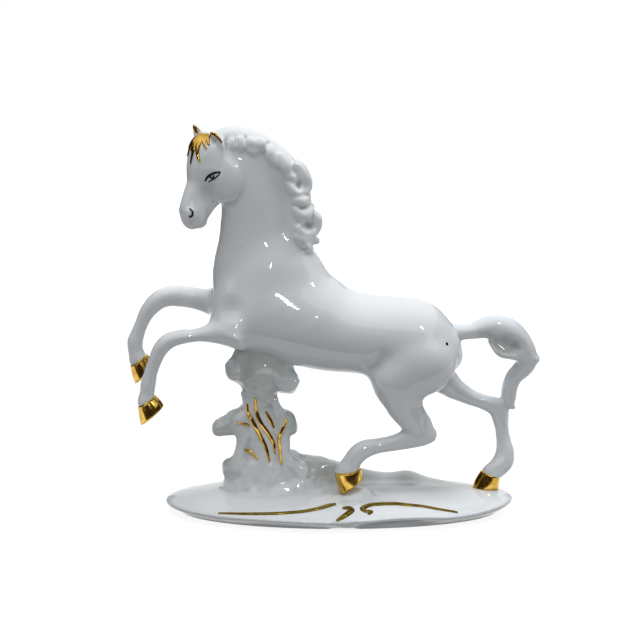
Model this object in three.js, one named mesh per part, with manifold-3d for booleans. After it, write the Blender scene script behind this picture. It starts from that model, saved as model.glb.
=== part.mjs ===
// A glazed porcelain horse leaping over a rocky stump on an oval base, with gilt hooves, forelock,
// reeds and scrolls. The pieces are cast one by one and luted together, so each has its own body.
import * as THREE from "three";
import { mergeVertices } from "three/addons/utils/BufferGeometryUtils.js";
import Module from "manifold-3d";

const wasm = await Module();
wasm.setup();

// Driving dimensions in millimetres. Heights of horse and stump count from the standing plane,
// the level of the base top on which the hooves stand.
const SEAM = 0.3; // joint line left between two pieces
const STAND_HEIGHT = 10; // table to the standing plane
const CROWN = 2; // rise of the base's crown over the standing plane
const BASE_LENGTH = 172;
const BASE_WIDTH = 70;
const RIM_HEIGHT = 5.6; // table to the widest line of the base
const FOOT_INSET = 8; // outer edge of the foot ring, in from the widest line
const FOOT_RING = 5; // width of the ground foot ring
const UNDERSIDE = 5; // depth of the hollow inside the foot ring
const WALL = 3.5; // cast wall of body, neck and stump
const DRAIN = 9; // hole under the stump where the slip ran out
const VENT = 1.8; // pinhole beside the dock that let the kiln heat out
const HALF_FORE = 12; // foreleg, out from the middle plane
const HALF_HIND = 11; // hind leg, out from the middle plane
const HEAD_TURN = 30; // degrees, toward the horse's left
const HEAD_PIVOT = -52; // the turning line of the head, along x
const LOCK_GIRTH = 1.2; // mane locks, fuller than their drawn half widths
const LOCK_LIFT = 0.3; // share of its girth by which a lock rides out of the neck
const FREE_LOCK = 2.4; // out from the middle plane where a lock passes beyond the neck
const REED_GILT = 0.6; // half thickness of the raised gold on the stump and the brow
const SCROLL_GILT = 0.8; // half thickness of the raised gold on the base
const PAINT = 0.4; // half thickness of the black painted lines
const STROKE_STEPS = 2; // landing spots between two stations of a brush stroke
const REACH = 400; // size of the cutting blocks

const degrees = THREE.MathUtils.degToRad;
const ACROSS = new THREE.Vector3(0, 1, 0);
const LENGTHWISE = new THREE.Vector3(1, 0, 0);
const UP = new THREE.Vector3(0, 0, 1);

// Sculpted outlines. Every row is one station: x, z, half depth in the side view, half width
// across. A fifth number moves the station out from the middle plane; a sixth leans its ring.
const BARREL = [
  [-61.5, 94, 7, 7], [-57, 93, 14, 13], [-47, 92, 20, 16.5], [-31, 91, 23.5, 18.5],
  [-16, 88, 24.5, 19.5], [-5, 83.5, 22, 20], [5, 81, 20, 20], [17, 79.5, 19.5, 19.5],
  [29, 78, 20.5, 19], [39, 76, 20.5, 18], [48, 74.6, 17.4, 15], [54.5, 75, 13.4, 11],
  [58.5, 76, 8, 7],
];
const NECK = [
  [-36, 98, 25, 14.5, 0, 6], [-37.9, 111, 24, 12.2, 0, 10], [-39.3, 121.3, 21.8, 10.4, 0, 13],
  [-40, 131, 20.2, 9.6, 0, 21], [-41, 140.4, 19.4, 9.4, 0, 29],
  [-42.4, 150, 19.4, 9.2, 0, 42], [-47.2, 158.4, 19.2, 9, 0, 61],
  [-52, 160.6, 17.8, 8.6, 0, 76], [-57, 160.5, 14, 8, 0, 88],
];
const FACE = [
  [-60, 177, 5.5, 5.5], [-62.7, 170.5, 9, 8], [-64.5, 162, 9.2, 8.2], [-65.9, 154, 8.2, 6.8],
  [-69.4, 147, 7.3, 5.8], [-71, 141.5, 7.2, 5.8], [-71, 137, 5.8, 5.2], [-70, 134, 3, 3],
];
const JAW = [
  [-67.5, 138, 3, 3.4], [-64.4, 143.6, 4, 3.8], [-61, 149, 6, 4.4], [-58, 154, 8, 5],
];
const CHEEK = { at: [-56.9, 0, 157.5], half: [10.5, 9, 12.5] };
const CHIN = { at: [-69.5, 0, 136.5], half: [5, 4.4, 3.4] };
// Ears as they stand after the head is turned: root, middle, tip and the way the ear opens.
const EARS = {
  left: { path: [[-56.4, -7.4, 168.6], [-57.5, -10, 174], [-59.4, -12, 179.2]], opening: [-0.4, -0.9, 0.15] },
  right: { path: [[-65, 4.4, 170], [-66.8, 4.6, 176], [-69, 4.8, 180.9]], opening: [-0.6, -0.75, 0.2] },
};
const EAR_SIZES = [[4, 2.2], [3, 1.5], [0.7, 0.7]]; // half width and half thickness on the way up
// Muscles on both sides of the body, and the dock between them: middle, half sizes and turn in the
// side view, in degrees.
const MUSCLES = {
  haunch: { at: [36, 9.5, 68], half: [20.5, 12, 17.5], turn: 0 },
  stifle: { at: [23.8, 12.4, 61.6], half: [9.6, 9, 10.4], turn: 0 },
  dock: { at: [50, 0, 80], half: [10, 6, 5.4], turn: 14 },
  shoulderBlade: { at: [-37, 6.8, 106], half: [24, 8.4, 15], turn: -48 },
  withers: { at: [-24, 4.6, 106], half: [19, 10.6, 20], turn: -20 },
  upperArm: { at: [-42, 9, 94], half: [12, 8.8, 12], turn: 20 },
  breast: { at: [-52, 7.6, 97], half: [9, 7.4, 13], turn: 0 },
};
const LEFT_FORELEG = [
  [-45, 84.5, 10.5, 7.5, -3], [-51, 84, 8.2, 7, -1], [-57, 83.5, 6.4, 6.2], [-62.8, 83, 5.1, 5.2],
  [-69, 82.3, 4, 4.5], [-76, 81.4, 3.6, 4.1], [-81.5, 79.5, 4, 4.2], [-85.5, 75.5, 3.8, 4],
  [-88.2, 69.7, 3.4, 3.5], [-90.4, 63.5, 3.4, 3.4], [-91.8, 58, 3.9, 3.8],
  [-92.4, 53.8, 3.7, 3.9], [-92.8, 50, 4.6, 4.6], [-92, 46, 5, 5],
];
const RIGHT_FORELEG = [
  [-50, 92, 10, 7.5, -4], [-57.5, 93, 8.4, 7, -1], [-65, 93.9, 6.9, 6], [-73, 95.6, 6, 5.3],
  [-80, 96.4, 5.3, 4.8], [-86, 95.4, 4.9, 4.6], [-90.4, 92.4, 4.5, 4.4], [-94.2, 88, 3.9, 3.9],
  [-96.8, 82.7, 3.4, 3.5], [-99, 77.4, 3.6, 3.5], [-100.4, 73, 4.1, 3.9],
  [-100.2, 68.6, 3.9, 3.9], [-99, 64, 4.8, 4.6], [-97.6, 60, 5, 5],
];
const LEFT_GASKIN = [
  [28, 68, 15, 10, -1], [29, 57, 14, 9.4], [30.6, 49.4, 10, 7.4], [33.7, 43.5, 8.2, 6],
  [37.4, 38.8, 7.2, 5], [40.8, 34.6, 5.6, 4.4], [43, 31.6, 3, 3],
];
const LEFT_HIND_CANNON = [
  [47, 31.8, 2.6, 2.6], [42.5, 32.4, 4.8, 4.2], [35, 31, 5.2, 4.2], [26.4, 28.5, 4.1, 3.8],
  [18.5, 27, 3.9, 3.6], [12.4, 25.4, 4.7, 4.1], [8.4, 22.4, 4.7, 4.3], [5.8, 18.4, 4.7, 4.4],
  [4.2, 14.7, 6, 5.2], [4, 11, 6.2, 5.4],
];
const RIGHT_GASKIN = [
  [38, 67, 12, 8, -2], [46, 59, 10, 7.6], [53.6, 52.7, 7.4, 6.5], [58.6, 48.9, 5.4, 5.2],
  [64.9, 45.3, 4.1, 4.3], [70.9, 43.1, 3.9, 4], [76.5, 41, 4.5, 4.1], [81, 39.6, 3.9, 3.6],
  [83.4, 39, 2, 2],
];
const RIGHT_HIND_CANNON = [
  [79.2, 44.5, 2.8, 2.8], [79.6, 40, 4.6, 4], [80, 36, 4.6, 4, -0.5], [80.8, 30.8, 3.7, 3.5, -1],
  [81.7, 24.5, 3.7, 3.4, -2], [82.6, 18.2, 4.8, 4.2, -3], [81.8, 13.4, 5.4, 4.6, -4],
  [78.8, 10, 5, 4.6, -5], [75.6, 7.4, 4.8, 4.6, -5], [73.6, 4.6, 5, 4.8, -5],
];
const TAIL = [
  [50, 81, 4, 4, 0], [57, 81, 4, 4, 0], [64, 81.5, 3.9, 4.2, 0], [70.5, 82.9, 5.3, 4.8, 1],
  [76, 82.6, 6.5, 5.4, 2], [82, 79.6, 7.2, 6, 3.4], [87, 74.5, 6.8, 6, 4.8],
  [91, 69, 5.6, 5.6, 6], [92, 64.2, 5, 5.2, 7.4], [89.8, 60.2, 4.6, 5, 8.6],
  [86.6, 56.4, 4.2, 4.6, 9.8], [84.8, 51.6, 4, 4.2, 11], [84.2, 46.4, 3.9, 4, 12],
  [84.6, 42.4, 3.4, 3.4, 12.4], [86.4, 39.8, 1.6, 2, 12.6], [88, 39.4, 0.6, 0.8, 12.4],
];
const TAIL_LIP = [
  [73, 77.4, 1.6, 1.8, -1], [75.8, 73.2, 2, 2, -1.4], [78.8, 70.4, 2.1, 2, -0.8], [83, 69.2, 2, 2, 0.6],
  [87, 67.4, 1.6, 1.8, 2.4],
];
const TAIL_KICK = { at: [94.8, 6.4, 66.8], half: [4, 4.6, 3.2], turn: 30 };
// Stump: a narrow trunk with a broken bough on either side, ragged front edges, a spreading cap under
// the belly and rock ledges at its foot.
const TRUNK = [
  [-36, -1, 20, 7], [-36.5, 8, 17.5, 7.4], [-37, 14, 15, 7.6], [-37, 20, 13.2, 7.2, 0.6],
  [-37.5, 26, 12.2, 6.8, 1], [-38, 33, 12.6, 6.6, 1], [-38.5, 40, 11, 6.5, 1], [-39, 47, 8.6, 6.5, 1],
  [-39, 52, 9, 7.5], [-38.5, 57, 14, 9.5], [-38, 62, 16, 11], [-36, 67, 16, 11], [-34, 73, 12.6, 10],
];
const BOUGHS = [
  [[-44, 37, 9, 6.5], [-50, 36, 7.6, 6.5], [-55.5, 34.2, 5.4, 6.6], [-61.8, 32.2, 3.4, 5.8]],
  [[-34, 36, 9, 6], [-28, 36, 7.6, 6], [-24, 33.8, 5.2, 5.6], [-20.8, 32.6, 2, 3.4]],
];
const STUMP_EDGES = [
  [
    [-46.6, 52.7, 2.4, 2.8, -3.4], [-44.6, 44.2, 3, 3.4, -4.8], [-49.6, 37.1, 3.4, 3.6, -5],
    [-47.2, 29.5, 3.2, 3.6, -5.2], [-49, 19.8, 3.6, 4, -4.6], [-52, 13, 4, 4.2, -3],
  ],
  [
    [-32, 49, 2.4, 2.6, -3.6], [-28, 40, 3, 3.2, -4.2], [-27.4, 31.7, 3.2, 3.4, -4.4],
    [-26.6, 22, 3.6, 3.8, -4.4], [-23.4, 15, 4.2, 4.4, -3], [-17, 9.6, 4.4, 5, -1],
  ],
  [
    [-47.3, 57.8, 1.8, 2, -7.5], [-40.5, 61.6, 2, 2.2, -10], [-34, 62.8, 2, 2.2, -10.5],
    [-29.4, 60.2, 2, 2.2, -10], [-26.9, 54.9, 2, 2.2, -8.4], [-22.9, 55.2, 2, 2.2, -7.4],
    [-19.8, 59.4, 1.8, 2, -5.4],
  ],
];
const LUMPS = [
  { at: [-49.6, -1, 62.4], half: [6.6, 9, 6] }, { at: [-25.4, -1, 57], half: [6.2, 8.4, 7] },
  { at: [-53.6, -0.5, 12], half: [4.4, 5.6, 5.4] },
  { at: [-30, 7, 6], half: [17, 6, 6] }, { at: [-50, 6, 6], half: [8, 6, 5] },
];
const LEDGES = [
  { at: [-37, -0.6], half: [21, 11.6], taper: 0.86, top: 9, sides: 9, turn: 10 },
  { at: [-51, 0.4], half: [9, 9], taper: 0.66, top: 9.8, sides: 7, turn: 25 },
  { at: [-21, 0], half: [16, 10.4], taper: 0.62, top: 7.8, sides: 8, turn: 5 },
  { at: [-11, 3], half: [12, 9], taper: 0.4, top: 5.6, sides: 7, turn: 0 },
];
const LEDGE_ROOT = -2; // the ledges start below the standing plane
const RIDGE = [
  [-18, 8.2, 7, 7, 10], [-10, 7, 7, 7.4, 12], [0, 4.4, 6, 6.8, 14], [12, 2, 4.6, 6.2, 15.5],
  [21, 0.6, 4.2, 6, 15.5],
  [28, 0.4, 4.4, 5.6, 15.5], [35, 1.1, 4.8, 5.6, 15.5], [41, -0.4, 4, 5, 15],
  [50, -2, 3.4, 5, 14], [60, -3.4, 3, 5, 13], [67, -4, 3.4, 5, 12], [74, -6, 3, 4.6, 11],
];
const CREST = [
  [-19, 152, 4, 5.4], [-24, 162, 4, 5], [-32.5, 169.6, 4.2, 4.6], [-41, 174, 4.4, 4.4], [-49, 176, 4.4, 4.2],
  [-55, 176, 3.6, 3.8], [-59, 174.6, 2.4, 3], [-62, 173, 1, 1.4],
];
const MANE_BED = [
  [-19.6, 118, 6, 8], [-20, 124, 7, 9.6], [-20, 133, 7.4, 9.8], [-20.6, 143, 7.4, 9.4], [-22, 152, 7.4, 9],
  [-27, 160, 7.4, 8.6], [-34, 166.6, 7, 8], [-41.5, 170.6, 6.6, 7.6], [-48.6, 172.6, 5.6, 7], [-52, 173, 4, 6],
];
// Mane locks, drawn in the side view from root to tip: x, z and half width. Each lies on both sides.
const LOCKS = [
  [[-52.5, 174, 1.3], [-51.3, 172, 1.7], [-49.5, 170.4, 1.2]],
  [[-47, 175, 1.4], [-45.8, 173, 1.9], [-46.4, 170.6, 1.4]],
  [[-43.2, 175.6, 1.5], [-42.4, 173, 2], [-40.2, 170.3, 2], [-36.6, 169.7, 1.9], [-35.3, 171.9, 1.4]],
  [[-38.8, 174.6, 1.4], [-38.2, 172.6, 1.7]],
  [[-32.8, 172.6, 1.4], [-31, 170.6, 2], [-29.2, 168.7, 2], [-27.4, 166.2, 1.4]],
  [[-29, 169, 1.3], [-27.2, 166, 2], [-24.4, 163.6, 1.9], [-21.9, 163, 1.3]],
  [[-24.4, 164.5, 1.4], [-25, 160.1, 2], [-23.8, 157.3, 2], [-20.7, 157, 1.4]],
  [[-20.7, 162, 1.6], [-17.2, 158.6, 2.2], [-14.6, 154.4, 2.2], [-15.2, 150.2, 1.6]],
  [[-18.2, 149.7, 1.2], [-20.7, 148.4, 1.5], [-23.2, 150.3, 1.2]],
  [[-14.8, 146.9, 1.4], [-18.3, 146.2, 1.7], [-21.4, 145, 1.2]],
  [[-13.9, 143.1, 1.6], [-15.8, 140.6, 2.1], [-19.5, 139.4, 2], [-21.1, 141.2, 1.3]],
  [
    [-12.6, 139.4, 1.5], [-11.4, 136.2, 2], [-12, 131.8, 2], [-15.2, 128.7, 1.9], [-18.9, 129.9, 1.6],
    [-20.2, 133.7, 1.2],
  ],
  [[-12.6, 128, 1.5], [-10.6, 125.5, 1.9], [-12.6, 121.6, 1.7], [-15, 120.4, 1.1]],
  [[-12.6, 128.2, 1.4], [-16.4, 126.9, 1.7], [-20.2, 127.6, 1.1]],
];
// Hooves: coronet first, then the sole.
const LEFT_FORE_HOOF = [
  [-92.8, 50, 5, 4.9, 0, 33], [-91.2, 46, 6.6, 5.8, 0, 37], [-90.1, 42.6, 7.4, 6.2, 0, 40],
];
const RIGHT_FORE_HOOF = [
  [-99, 64, 5.2, 4.9, 0, 36], [-97.2, 60, 6.4, 5.7, 0, 39], [-95.8, 56.6, 7, 6.1, 0, 42],
];
const LEFT_HIND_HOOF = [
  [4.1, 14.7, 6.5, 5.5, 0, 9], [4.9, 10.4, 6.7, 6, 0, 22], [5.8, 6.6, 7, 6.2, 0, 36],
];
const RIGHT_HIND_HOOF = [
  [75.6, 7.4, 4.9, 4.8, -5, -20], [73.8, 2, 6.2, 5.7, -5, -18], [72, -4, 6.6, 6, -5, -16],
];
// Where one casting is luted to the next in the side view: x, z and the way to the next, in degrees.
const NECK_JOINT = [-37, 110, 105.5];
const LEFT_FORE_JOINT = [-58, 83.5, 180];
const RIGHT_FORE_JOINT = [-66, 94, 180];
const LEFT_HIND_JOINT = [30, 53, -90];
const RIGHT_HIND_JOINT = [55, 52, -38];
const TAIL_JOINT = [60, 81.2, 0];
const VENT_SPOT = [50, -8, 76];
// Gold reeds on the stump front (x, z), gold scrolls on the base top (x, y) and the gold forelock
// on the brow (y, z), each strand with its half widths along the way.
const REEDS = {
  reed_left_long: [
    [-44.6, 47.4, 0.5], [-44.1, 42, 0.9], [-41.1, 35.6, 1.1], [-38.1, 29.2, 1.1], [-35.6, 23.8, 0.9],
    [-34.1, 17.4, 0.5],
  ],
  reed_left_branch: [[-49.3, 37.8, 0.4], [-45.9, 36.7, 0.7], [-43.6, 35.4, 0.5]],
  reed_middle_long: [
    [-40.7, 50, 0.5], [-40.3, 42.6, 0.9], [-38.1, 36.7, 1.1], [-34.5, 31.4, 1.1], [-32, 26, 0.9],
    [-31.5, 21.2, 0.5],
  ],
  reed_middle_short: [[-35.9, 42.6, 0.5], [-33.5, 38.3, 0.9], [-31.8, 34.4, 0.6]],
  reed_right_long: [
    [-25.4, 39.4, 0.5], [-27.3, 34.6, 0.9], [-29.2, 29.7, 1], [-29.2, 26, 1], [-28.2, 15.8, 0.5],
  ],
  reed_low: [[-46.4, 23.3, 0.5], [-43.3, 21.7, 0.8], [-39.9, 18.5, 0.5]],
};
const SCROLLS = {
  scroll_left: [
    [-58.1, -24.1, 0.4], [-45.3, -26.5, 0.8], [-31.9, -27.6, 1], [-21.3, -27.1, 1.1], [-15.3, -26.1, 1.2],
    [-9.3, -23.8, 1.4], [-4.5, -21.1, 1.6], [-1.7, -20.8, 0.8],
  ],
  scroll_middle: [
    [1.4, -26.6, 0.8], [4.2, -26.6, 1.5], [5.6, -27.8, 1.6], [3.9, -30.1, 1.5], [1, -32, 1.2],
    [-1.6, -33.4, 0.6],
  ],
  scroll_right: [
    [13.7, -29.2, 0.6], [15, -26.9, 1.2], [12.6, -26.6, 1.3], [11, -25.1, 1.5], [12.8, -22.2, 1.5],
    [17.1, -20.1, 1.6], [25.9, -19.1, 1.6], [33.1, -20.1, 1.3], [40.5, -21.1, 1], [48.3, -22.9, 0.8],
    [56.7, -23.9, 0.4],
  ],
};
const FORELOCK = [
  [[-2.7, 177.5, 1.2], [-1.9, 174.5, 1.3], [-2.4, 170.1, 0.9], [-1.9, 163.8, 0.35]],
  [[-3.1, 177.5, 1.2], [-3.6, 174.1, 1.4], [-4.5, 169.8, 1], [-5.9, 165.3, 0.5]],
  [[-3.4, 177.5, 1], [-4.7, 175.2, 1.1], [-6.8, 171.3, 0.45]],
  [[-2.6, 177.3, 0.8], [-1.4, 174.1, 0.8], [-1, 169.7, 0.35]],
  [[-2, 177.6, 1], [0.4, 173.5, 1], [1.6, 167, 0.4]],
  [[-1.4, 177.8, 0.9], [2, 174.5, 0.9], [3.6, 170.5, 0.4]],
];
const EYE = {
  upper: [[-68, 156.1, 0.35], [-66.9, 158.5, 0.55], [-64.2, 159.9, 0.6], [-61.3, 160.3, 0.3]],
  lower: [[-66.4, 155.8, 0.3], [-64.5, 156.8, 0.4], [-62.3, 158, 0.4], [-61.3, 160.3, 0.3]],
  iris: [-65.1, 158.6, 1.3],
};
const NOSTRIL = [[-75.6, 143.9, 0.3], [-74.5, 142.2, 0.5], [-74.8, 140.4, 0.55], [-75.9, 139.9, 0.7]];

function solid(geometry) {
  const bare = new THREE.BufferGeometry();
  bare.setAttribute("position", geometry.attributes.position);
  bare.setIndex(geometry.index);
  const welded = mergeVertices(bare, 1e-4);
  const vertProperties = new Float32Array(welded.attributes.position.array);
  const triVerts = new Uint32Array(welded.index.array);
  return new wasm.Manifold(new wasm.Mesh({ numProp: 3, vertProperties, triVerts }));
}

function joined(geometries) {
  return geometries.map(solid).reduce((whole, next) => whole.add(next));
}

// A cut can leave loose crumbs; the piece is the largest of what remains.
function largest(body) {
  return body.decompose().reduce((best, next) => (next.volume() > best.volume() ? next : best));
}

function shell(body) {
  const cut = body.getMesh();
  const geometry = new THREE.BufferGeometry();
  geometry.setAttribute("position", new THREE.BufferAttribute(new Float32Array(cut.vertProperties), 3));
  geometry.setIndex(new THREE.BufferAttribute(new Uint32Array(cut.triVerts), 1));
  geometry.computeVertexNormals();
  return geometry;
}

// Stations in the side view become rows of centre, half depth, half width and lean.
function rowsOf(stations, out = 0) {
  return stations.map(([x, z, depth, width, y = 0, lean]) => [
    new THREE.Vector3(x, out + y, z), depth, width, lean,
  ]);
}

// Sweeps an oval section along a smooth path through the rows. The half width lies along
// `across`; the half depth lies square to it and to the path, or along the row's own lean.
function sweep(rows, { sides = 12, steps = 1, across = ACROSS, grow = 0 } = {}) {
  const path = new THREE.CatmullRomCurve3(rows.map((row) => row[0]));
  const girths = rows.map(([, depth, width, lean = 0]) => new THREE.Vector3(depth + grow, width + grow, lean));
  const girth = new THREE.CatmullRomCurve3(girths, false, "catmullrom", 0.5);
  const leans = rows[0][3] !== undefined;
  const skin = new THREE.CylinderGeometry(1, 1, 1, sides, steps * (rows.length - 1));
  const place = skin.attributes.position;
  for (let i = 0; i < place.count; i += 1) {
    const t = Math.min(Math.max(0.5 - place.getY(i), 0), 1);
    const along = path.getTangent(t);
    const size = girth.getPoint(t);
    const side = across.clone().addScaledVector(along, -across.dot(along)).normalize();
    const rise = new THREE.Vector3().crossVectors(along, side);
    if (leans) {
      const angle = THREE.MathUtils.degToRad(size.z);
      const tilted = new THREE.Vector3(Math.cos(angle), 0, Math.sin(angle));
      tilted.multiplyScalar(Math.sign(tilted.dot(rise)));
      rise.copy(tilted);
      side.copy(across);
    }
    const spot = path.getPoint(t);
    spot.addScaledVector(side, place.getX(i) * Math.max(size.y, 0.25));
    spot.addScaledVector(rise, place.getZ(i) * Math.max(size.x, 0.25));
    place.setXYZ(i, spot.x, spot.y, spot.z);
  }
  return skin;
}

function ball({ at, half, turn = 0 }, grow = 0, sides = 10) {
  const sphere = new THREE.SphereGeometry(1, sides, Math.round(sides * 0.65));
  sphere.scale(half[0] + grow, half[1] + grow, half[2] + grow);
  return sphere.rotateY(degrees(turn)).translate(...at);
}

// All that lies beyond a plane through `at`, on the side `toward` points to.
function beyond(at, toward) {
  const block = new THREE.BoxGeometry(REACH, REACH, REACH);
  block.translate(0, 0, REACH / 2);
  block.applyQuaternion(new THREE.Quaternion().setFromUnitVectors(UP, toward.clone().normalize()));
  return solid(block.translate(at.x, at.y, at.z));
}

// Parts a body at a joint in the side view and leaves the joint line between the two halves.
function parted(body, [x, z, way]) {
  const toward = new THREE.Vector3(Math.cos(degrees(way)), 0, Math.sin(degrees(way)));
  const at = new THREE.Vector3(x, 0, z);
  const near = body.subtract(beyond(at, toward));
  const far = body.intersect(beyond(at.clone().addScaledVector(toward, SEAM), toward));
  return [near, far];
}

const headPose = new THREE.Matrix4()
  .makeTranslation(HEAD_PIVOT, 0, 0)
  .multiply(new THREE.Matrix4().makeRotationZ(degrees(HEAD_TURN)))
  .multiply(new THREE.Matrix4().makeTranslation(-HEAD_PIVOT, 0, 0));

// Drops points onto a carrier along a direction and gives the spots where they land.
function landed(points, carrier, direction) {
  const target = new THREE.Mesh(carrier, new THREE.MeshBasicMaterial({ side: THREE.DoubleSide }));
  return points.map((point) => {
    const from = point.clone().addScaledVector(direction, -REACH / 2);
    return new THREE.Raycaster(from, direction).intersectObject(target)[0]?.point ?? null;
  });
}

// A raised stroke of gold or paint along the carrier's face, set down at many spots so that it keeps
// to the face. `lift` is its half thickness.
function stroke(points, halfWidths, carrier, direction, lift, grow = 0) {
  const way = new THREE.CatmullRomCurve3(points);
  const girth = new THREE.CatmullRomCurve3(halfWidths.map((width) => new THREE.Vector3(width, 0, 0)));
  const count = STROKE_STEPS * (points.length - 1);
  const widths = girth.getPoints(count);
  const rows = [];
  landed(way.getPoints(count), carrier, direction).forEach((spot, i) => {
    if (spot) {
      rows.push([spot, widths[i].x, lift]);
    }
  });
  return sweep(rows, { sides: 4, across: direction.clone().negate(), grow });
}

const pieces = new THREE.Group();
const headGroup = new THREE.Group();
headGroup.applyMatrix4(headPose);

const finishes = {
  porcelain: { color: 0xf2f4f6, roughness: 0.12, metalness: 0 },
  gold: { color: 0xd9a441, roughness: 0.22, metalness: 1 },
  black: { color: 0x17171a, roughness: 0.3, metalness: 0 },
};

function add(name, body, finish, parent = pieces) {
  const mesh = new THREE.Mesh(shell(largest(body)), new THREE.MeshStandardMaterial(finishes[finish]));
  mesh.name = name;
  parent.add(mesh);
  return mesh;
}

// Base: an oval plinth with a coved edge, a tongue at the front and a low rocky ridge behind.
const halfLength = BASE_LENGTH / 2;
const halfWidth = BASE_WIDTH / 2;
const oval = (height, inset) => [
  new THREE.Vector3(0, 0, height - STAND_HEIGHT),
  halfLength - inset,
  halfWidth - inset,
];

function plinth(lift) {
  const top = STAND_HEIGHT + CROWN + lift;
  const dome = top - RIM_HEIGHT;
  return sweep([
    oval(0, FOOT_INSET), oval(RIM_HEIGHT * 0.25, FOOT_INSET * 0.88),
    oval(RIM_HEIGHT * 0.5, FOOT_INSET * 0.58), oval(RIM_HEIGHT * 0.72, FOOT_INSET * 0.25),
    oval(RIM_HEIGHT, 0), oval(RIM_HEIGHT + dome * 0.19, halfWidth * 0.03),
    oval(RIM_HEIGHT + dome * 0.44, halfWidth * 0.15), oval(RIM_HEIGHT + dome * 0.69, halfWidth * 0.35),
    oval(RIM_HEIGHT + dome * 0.9, halfWidth * 0.68), oval(top, halfWidth * 0.93),
  ], { sides: 34 });
}

const HOOF_PAD = { at: [8.4, -HALF_HIND, 0], half: [10, 8, 6.4] };
const tongue = [
  [4, 0, 2.2, 5.6, 16 - halfWidth], [4, -1.6, 2.4, 6.6, 8 - halfWidth],
  [2.6, -4.4, 2.2, 6, 3.6 - halfWidth],
  [1.4, 2.4 - STAND_HEIGHT, 1.4, 4, FOOT_INSET - 3.5 - halfWidth],
];
const hollow = sweep([
  oval(-1, FOOT_INSET + FOOT_RING), oval(UNDERSIDE * 0.6, FOOT_INSET + FOOT_RING + 1),
  oval(UNDERSIDE, FOOT_INSET + FOOT_RING + 6),
], { sides: 26 });
const drainHole = new THREE.CylinderGeometry(DRAIN / 2, DRAIN / 2, 40, 20);
drainHole.rotateX(Math.PI / 2).translate(TRUNK[0][0], 0, 0);

// The ground the stump and hooves sit on, raised by `lift` to leave the joint line.
function ground(lift) {
  return joined([
    plinth(lift),
    sweep(rowsOf(RIDGE), { sides: 9, grow: lift }),
    ball(HOOF_PAD, lift),
  ]);
}
const baseBody = ground(0).add(solid(sweep(rowsOf(tongue), { across: LENGTHWISE }))).subtract(solid(hollow));

// Body: barrel and muscles, hollow cast, with the stubs of the limbs left on it.
function torsoMass(grow) {
  const masses = [sweep(rowsOf(BARREL), { sides: 14, grow })];
  for (const { at: [x, y, z], half, turn } of Object.values(MUSCLES)) {
    for (const out of new Set([y, -y])) {
      masses.push(ball({ at: [x, out, z], half, turn }, grow));
    }
  }
  return joined(masses);
}

function headMass(grow, pose) {
  const parts = [
    sweep(rowsOf(FACE), { sides: 14, grow }),
    sweep(rowsOf(JAW), { sides: 8, grow }),
    ball(CHEEK, grow),
    ball(CHIN, grow, 8),
  ];
  return joined(parts.map((part) => part.applyMatrix4(pose)));
}

const level = new THREE.Matrix4();
const neckRows = rowsOf(NECK);
const neckMass = (grow) => solid(sweep(neckRows, { sides: 14, grow }));
const bodyHollow = joined([
  sweep(rowsOf(BARREL).slice(1, -1), { sides: 8, grow: -WALL }),
  sweep(neckRows.slice(0, 6), { sides: 8, grow: -WALL }),
]);

// Ears as turned with the head, grown by `grow`.
function ear({ path, opening }, grow) {
  const rows = path.map((spot, i) => [new THREE.Vector3(...spot), ...EAR_SIZES[i]]);
  return sweep(rows, { sides: 8, steps: 3, across: new THREE.Vector3(...opening).normalize(), grow });
}
const clearEars = joined(Object.values(EARS).map((each) => ear(each, SEAM)));

const whole = torsoMass(0).add(neckMass(0));
const [lowerHorse, upperHorse] = parted(whole, NECK_JOINT);
const neckBody = largest(
  upperHorse.subtract(headMass(SEAM, headPose)).subtract(clearEars).subtract(bodyHollow),
);

const limb = (stations, out, sides) => solid(sweep(rowsOf(stations, out), { sides }));
const leftFore = parted(limb(LEFT_FORELEG, -HALF_FORE, 10), LEFT_FORE_JOINT);
const rightFore = parted(limb(RIGHT_FORELEG, HALF_FORE, 10), RIGHT_FORE_JOINT);
const leftHind = parted(limb(LEFT_GASKIN, -HALF_HIND, 12), LEFT_HIND_JOINT);
const rightHind = parted(limb(RIGHT_GASKIN, HALF_HIND, 12), RIGHT_HIND_JOINT);
const tailMass = joined([
  sweep(rowsOf(TAIL), { sides: 10 }),
  sweep(rowsOf(TAIL_LIP), { sides: 6 }),
  ball(TAIL_KICK),
]);
const tail = parted(tailMass, TAIL_JOINT);
const vent = new THREE.CylinderGeometry(VENT / 2, VENT / 2, 30, 10);
vent.translate(...VENT_SPOT);
const torsoBody = lowerHorse
  .add(leftFore[0]).add(rightFore[0]).add(leftHind[0]).add(rightHind[0]).add(tail[0])
  .subtract(bodyHollow).subtract(solid(vent));

// Limbs end at the coronet, where the gilt hoof begins.
function legAndHoof(upper, lower, hoof, out) {
  const [x, z, , , , lean] = hoof[0];
  const coronet = [x, z, lean - 90];
  const whole = lower ? upper.add(limb(lower, out, 10)) : upper;
  const shoe = parted(limb(hoof, out, 12), coronet)[1];
  return { leg: parted(whole, coronet)[0], hoof: largest(shoe.subtract(ground(SEAM))) };
}
const clear = torsoMass(SEAM);
const limbs = {
  left_fore: legAndHoof(leftFore[1].subtract(clear), null, LEFT_FORE_HOOF, -HALF_FORE),
  right_fore: legAndHoof(rightFore[1].subtract(clear), null, RIGHT_FORE_HOOF, HALF_FORE),
  left_hind: legAndHoof(leftHind[1].subtract(clear), LEFT_HIND_CANNON, LEFT_HIND_HOOF, -HALF_HIND),
  right_hind: legAndHoof(rightHind[1].subtract(clear), RIGHT_HIND_CANNON, RIGHT_HIND_HOOF, HALF_HIND),
};
const hockClear = joined([
  sweep(rowsOf(RIGHT_GASKIN, HALF_HIND), { sides: 12, grow: SEAM }),
  sweep(rowsOf(RIGHT_HIND_CANNON, HALF_HIND), { sides: 10, grow: SEAM }),
]);
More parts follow.
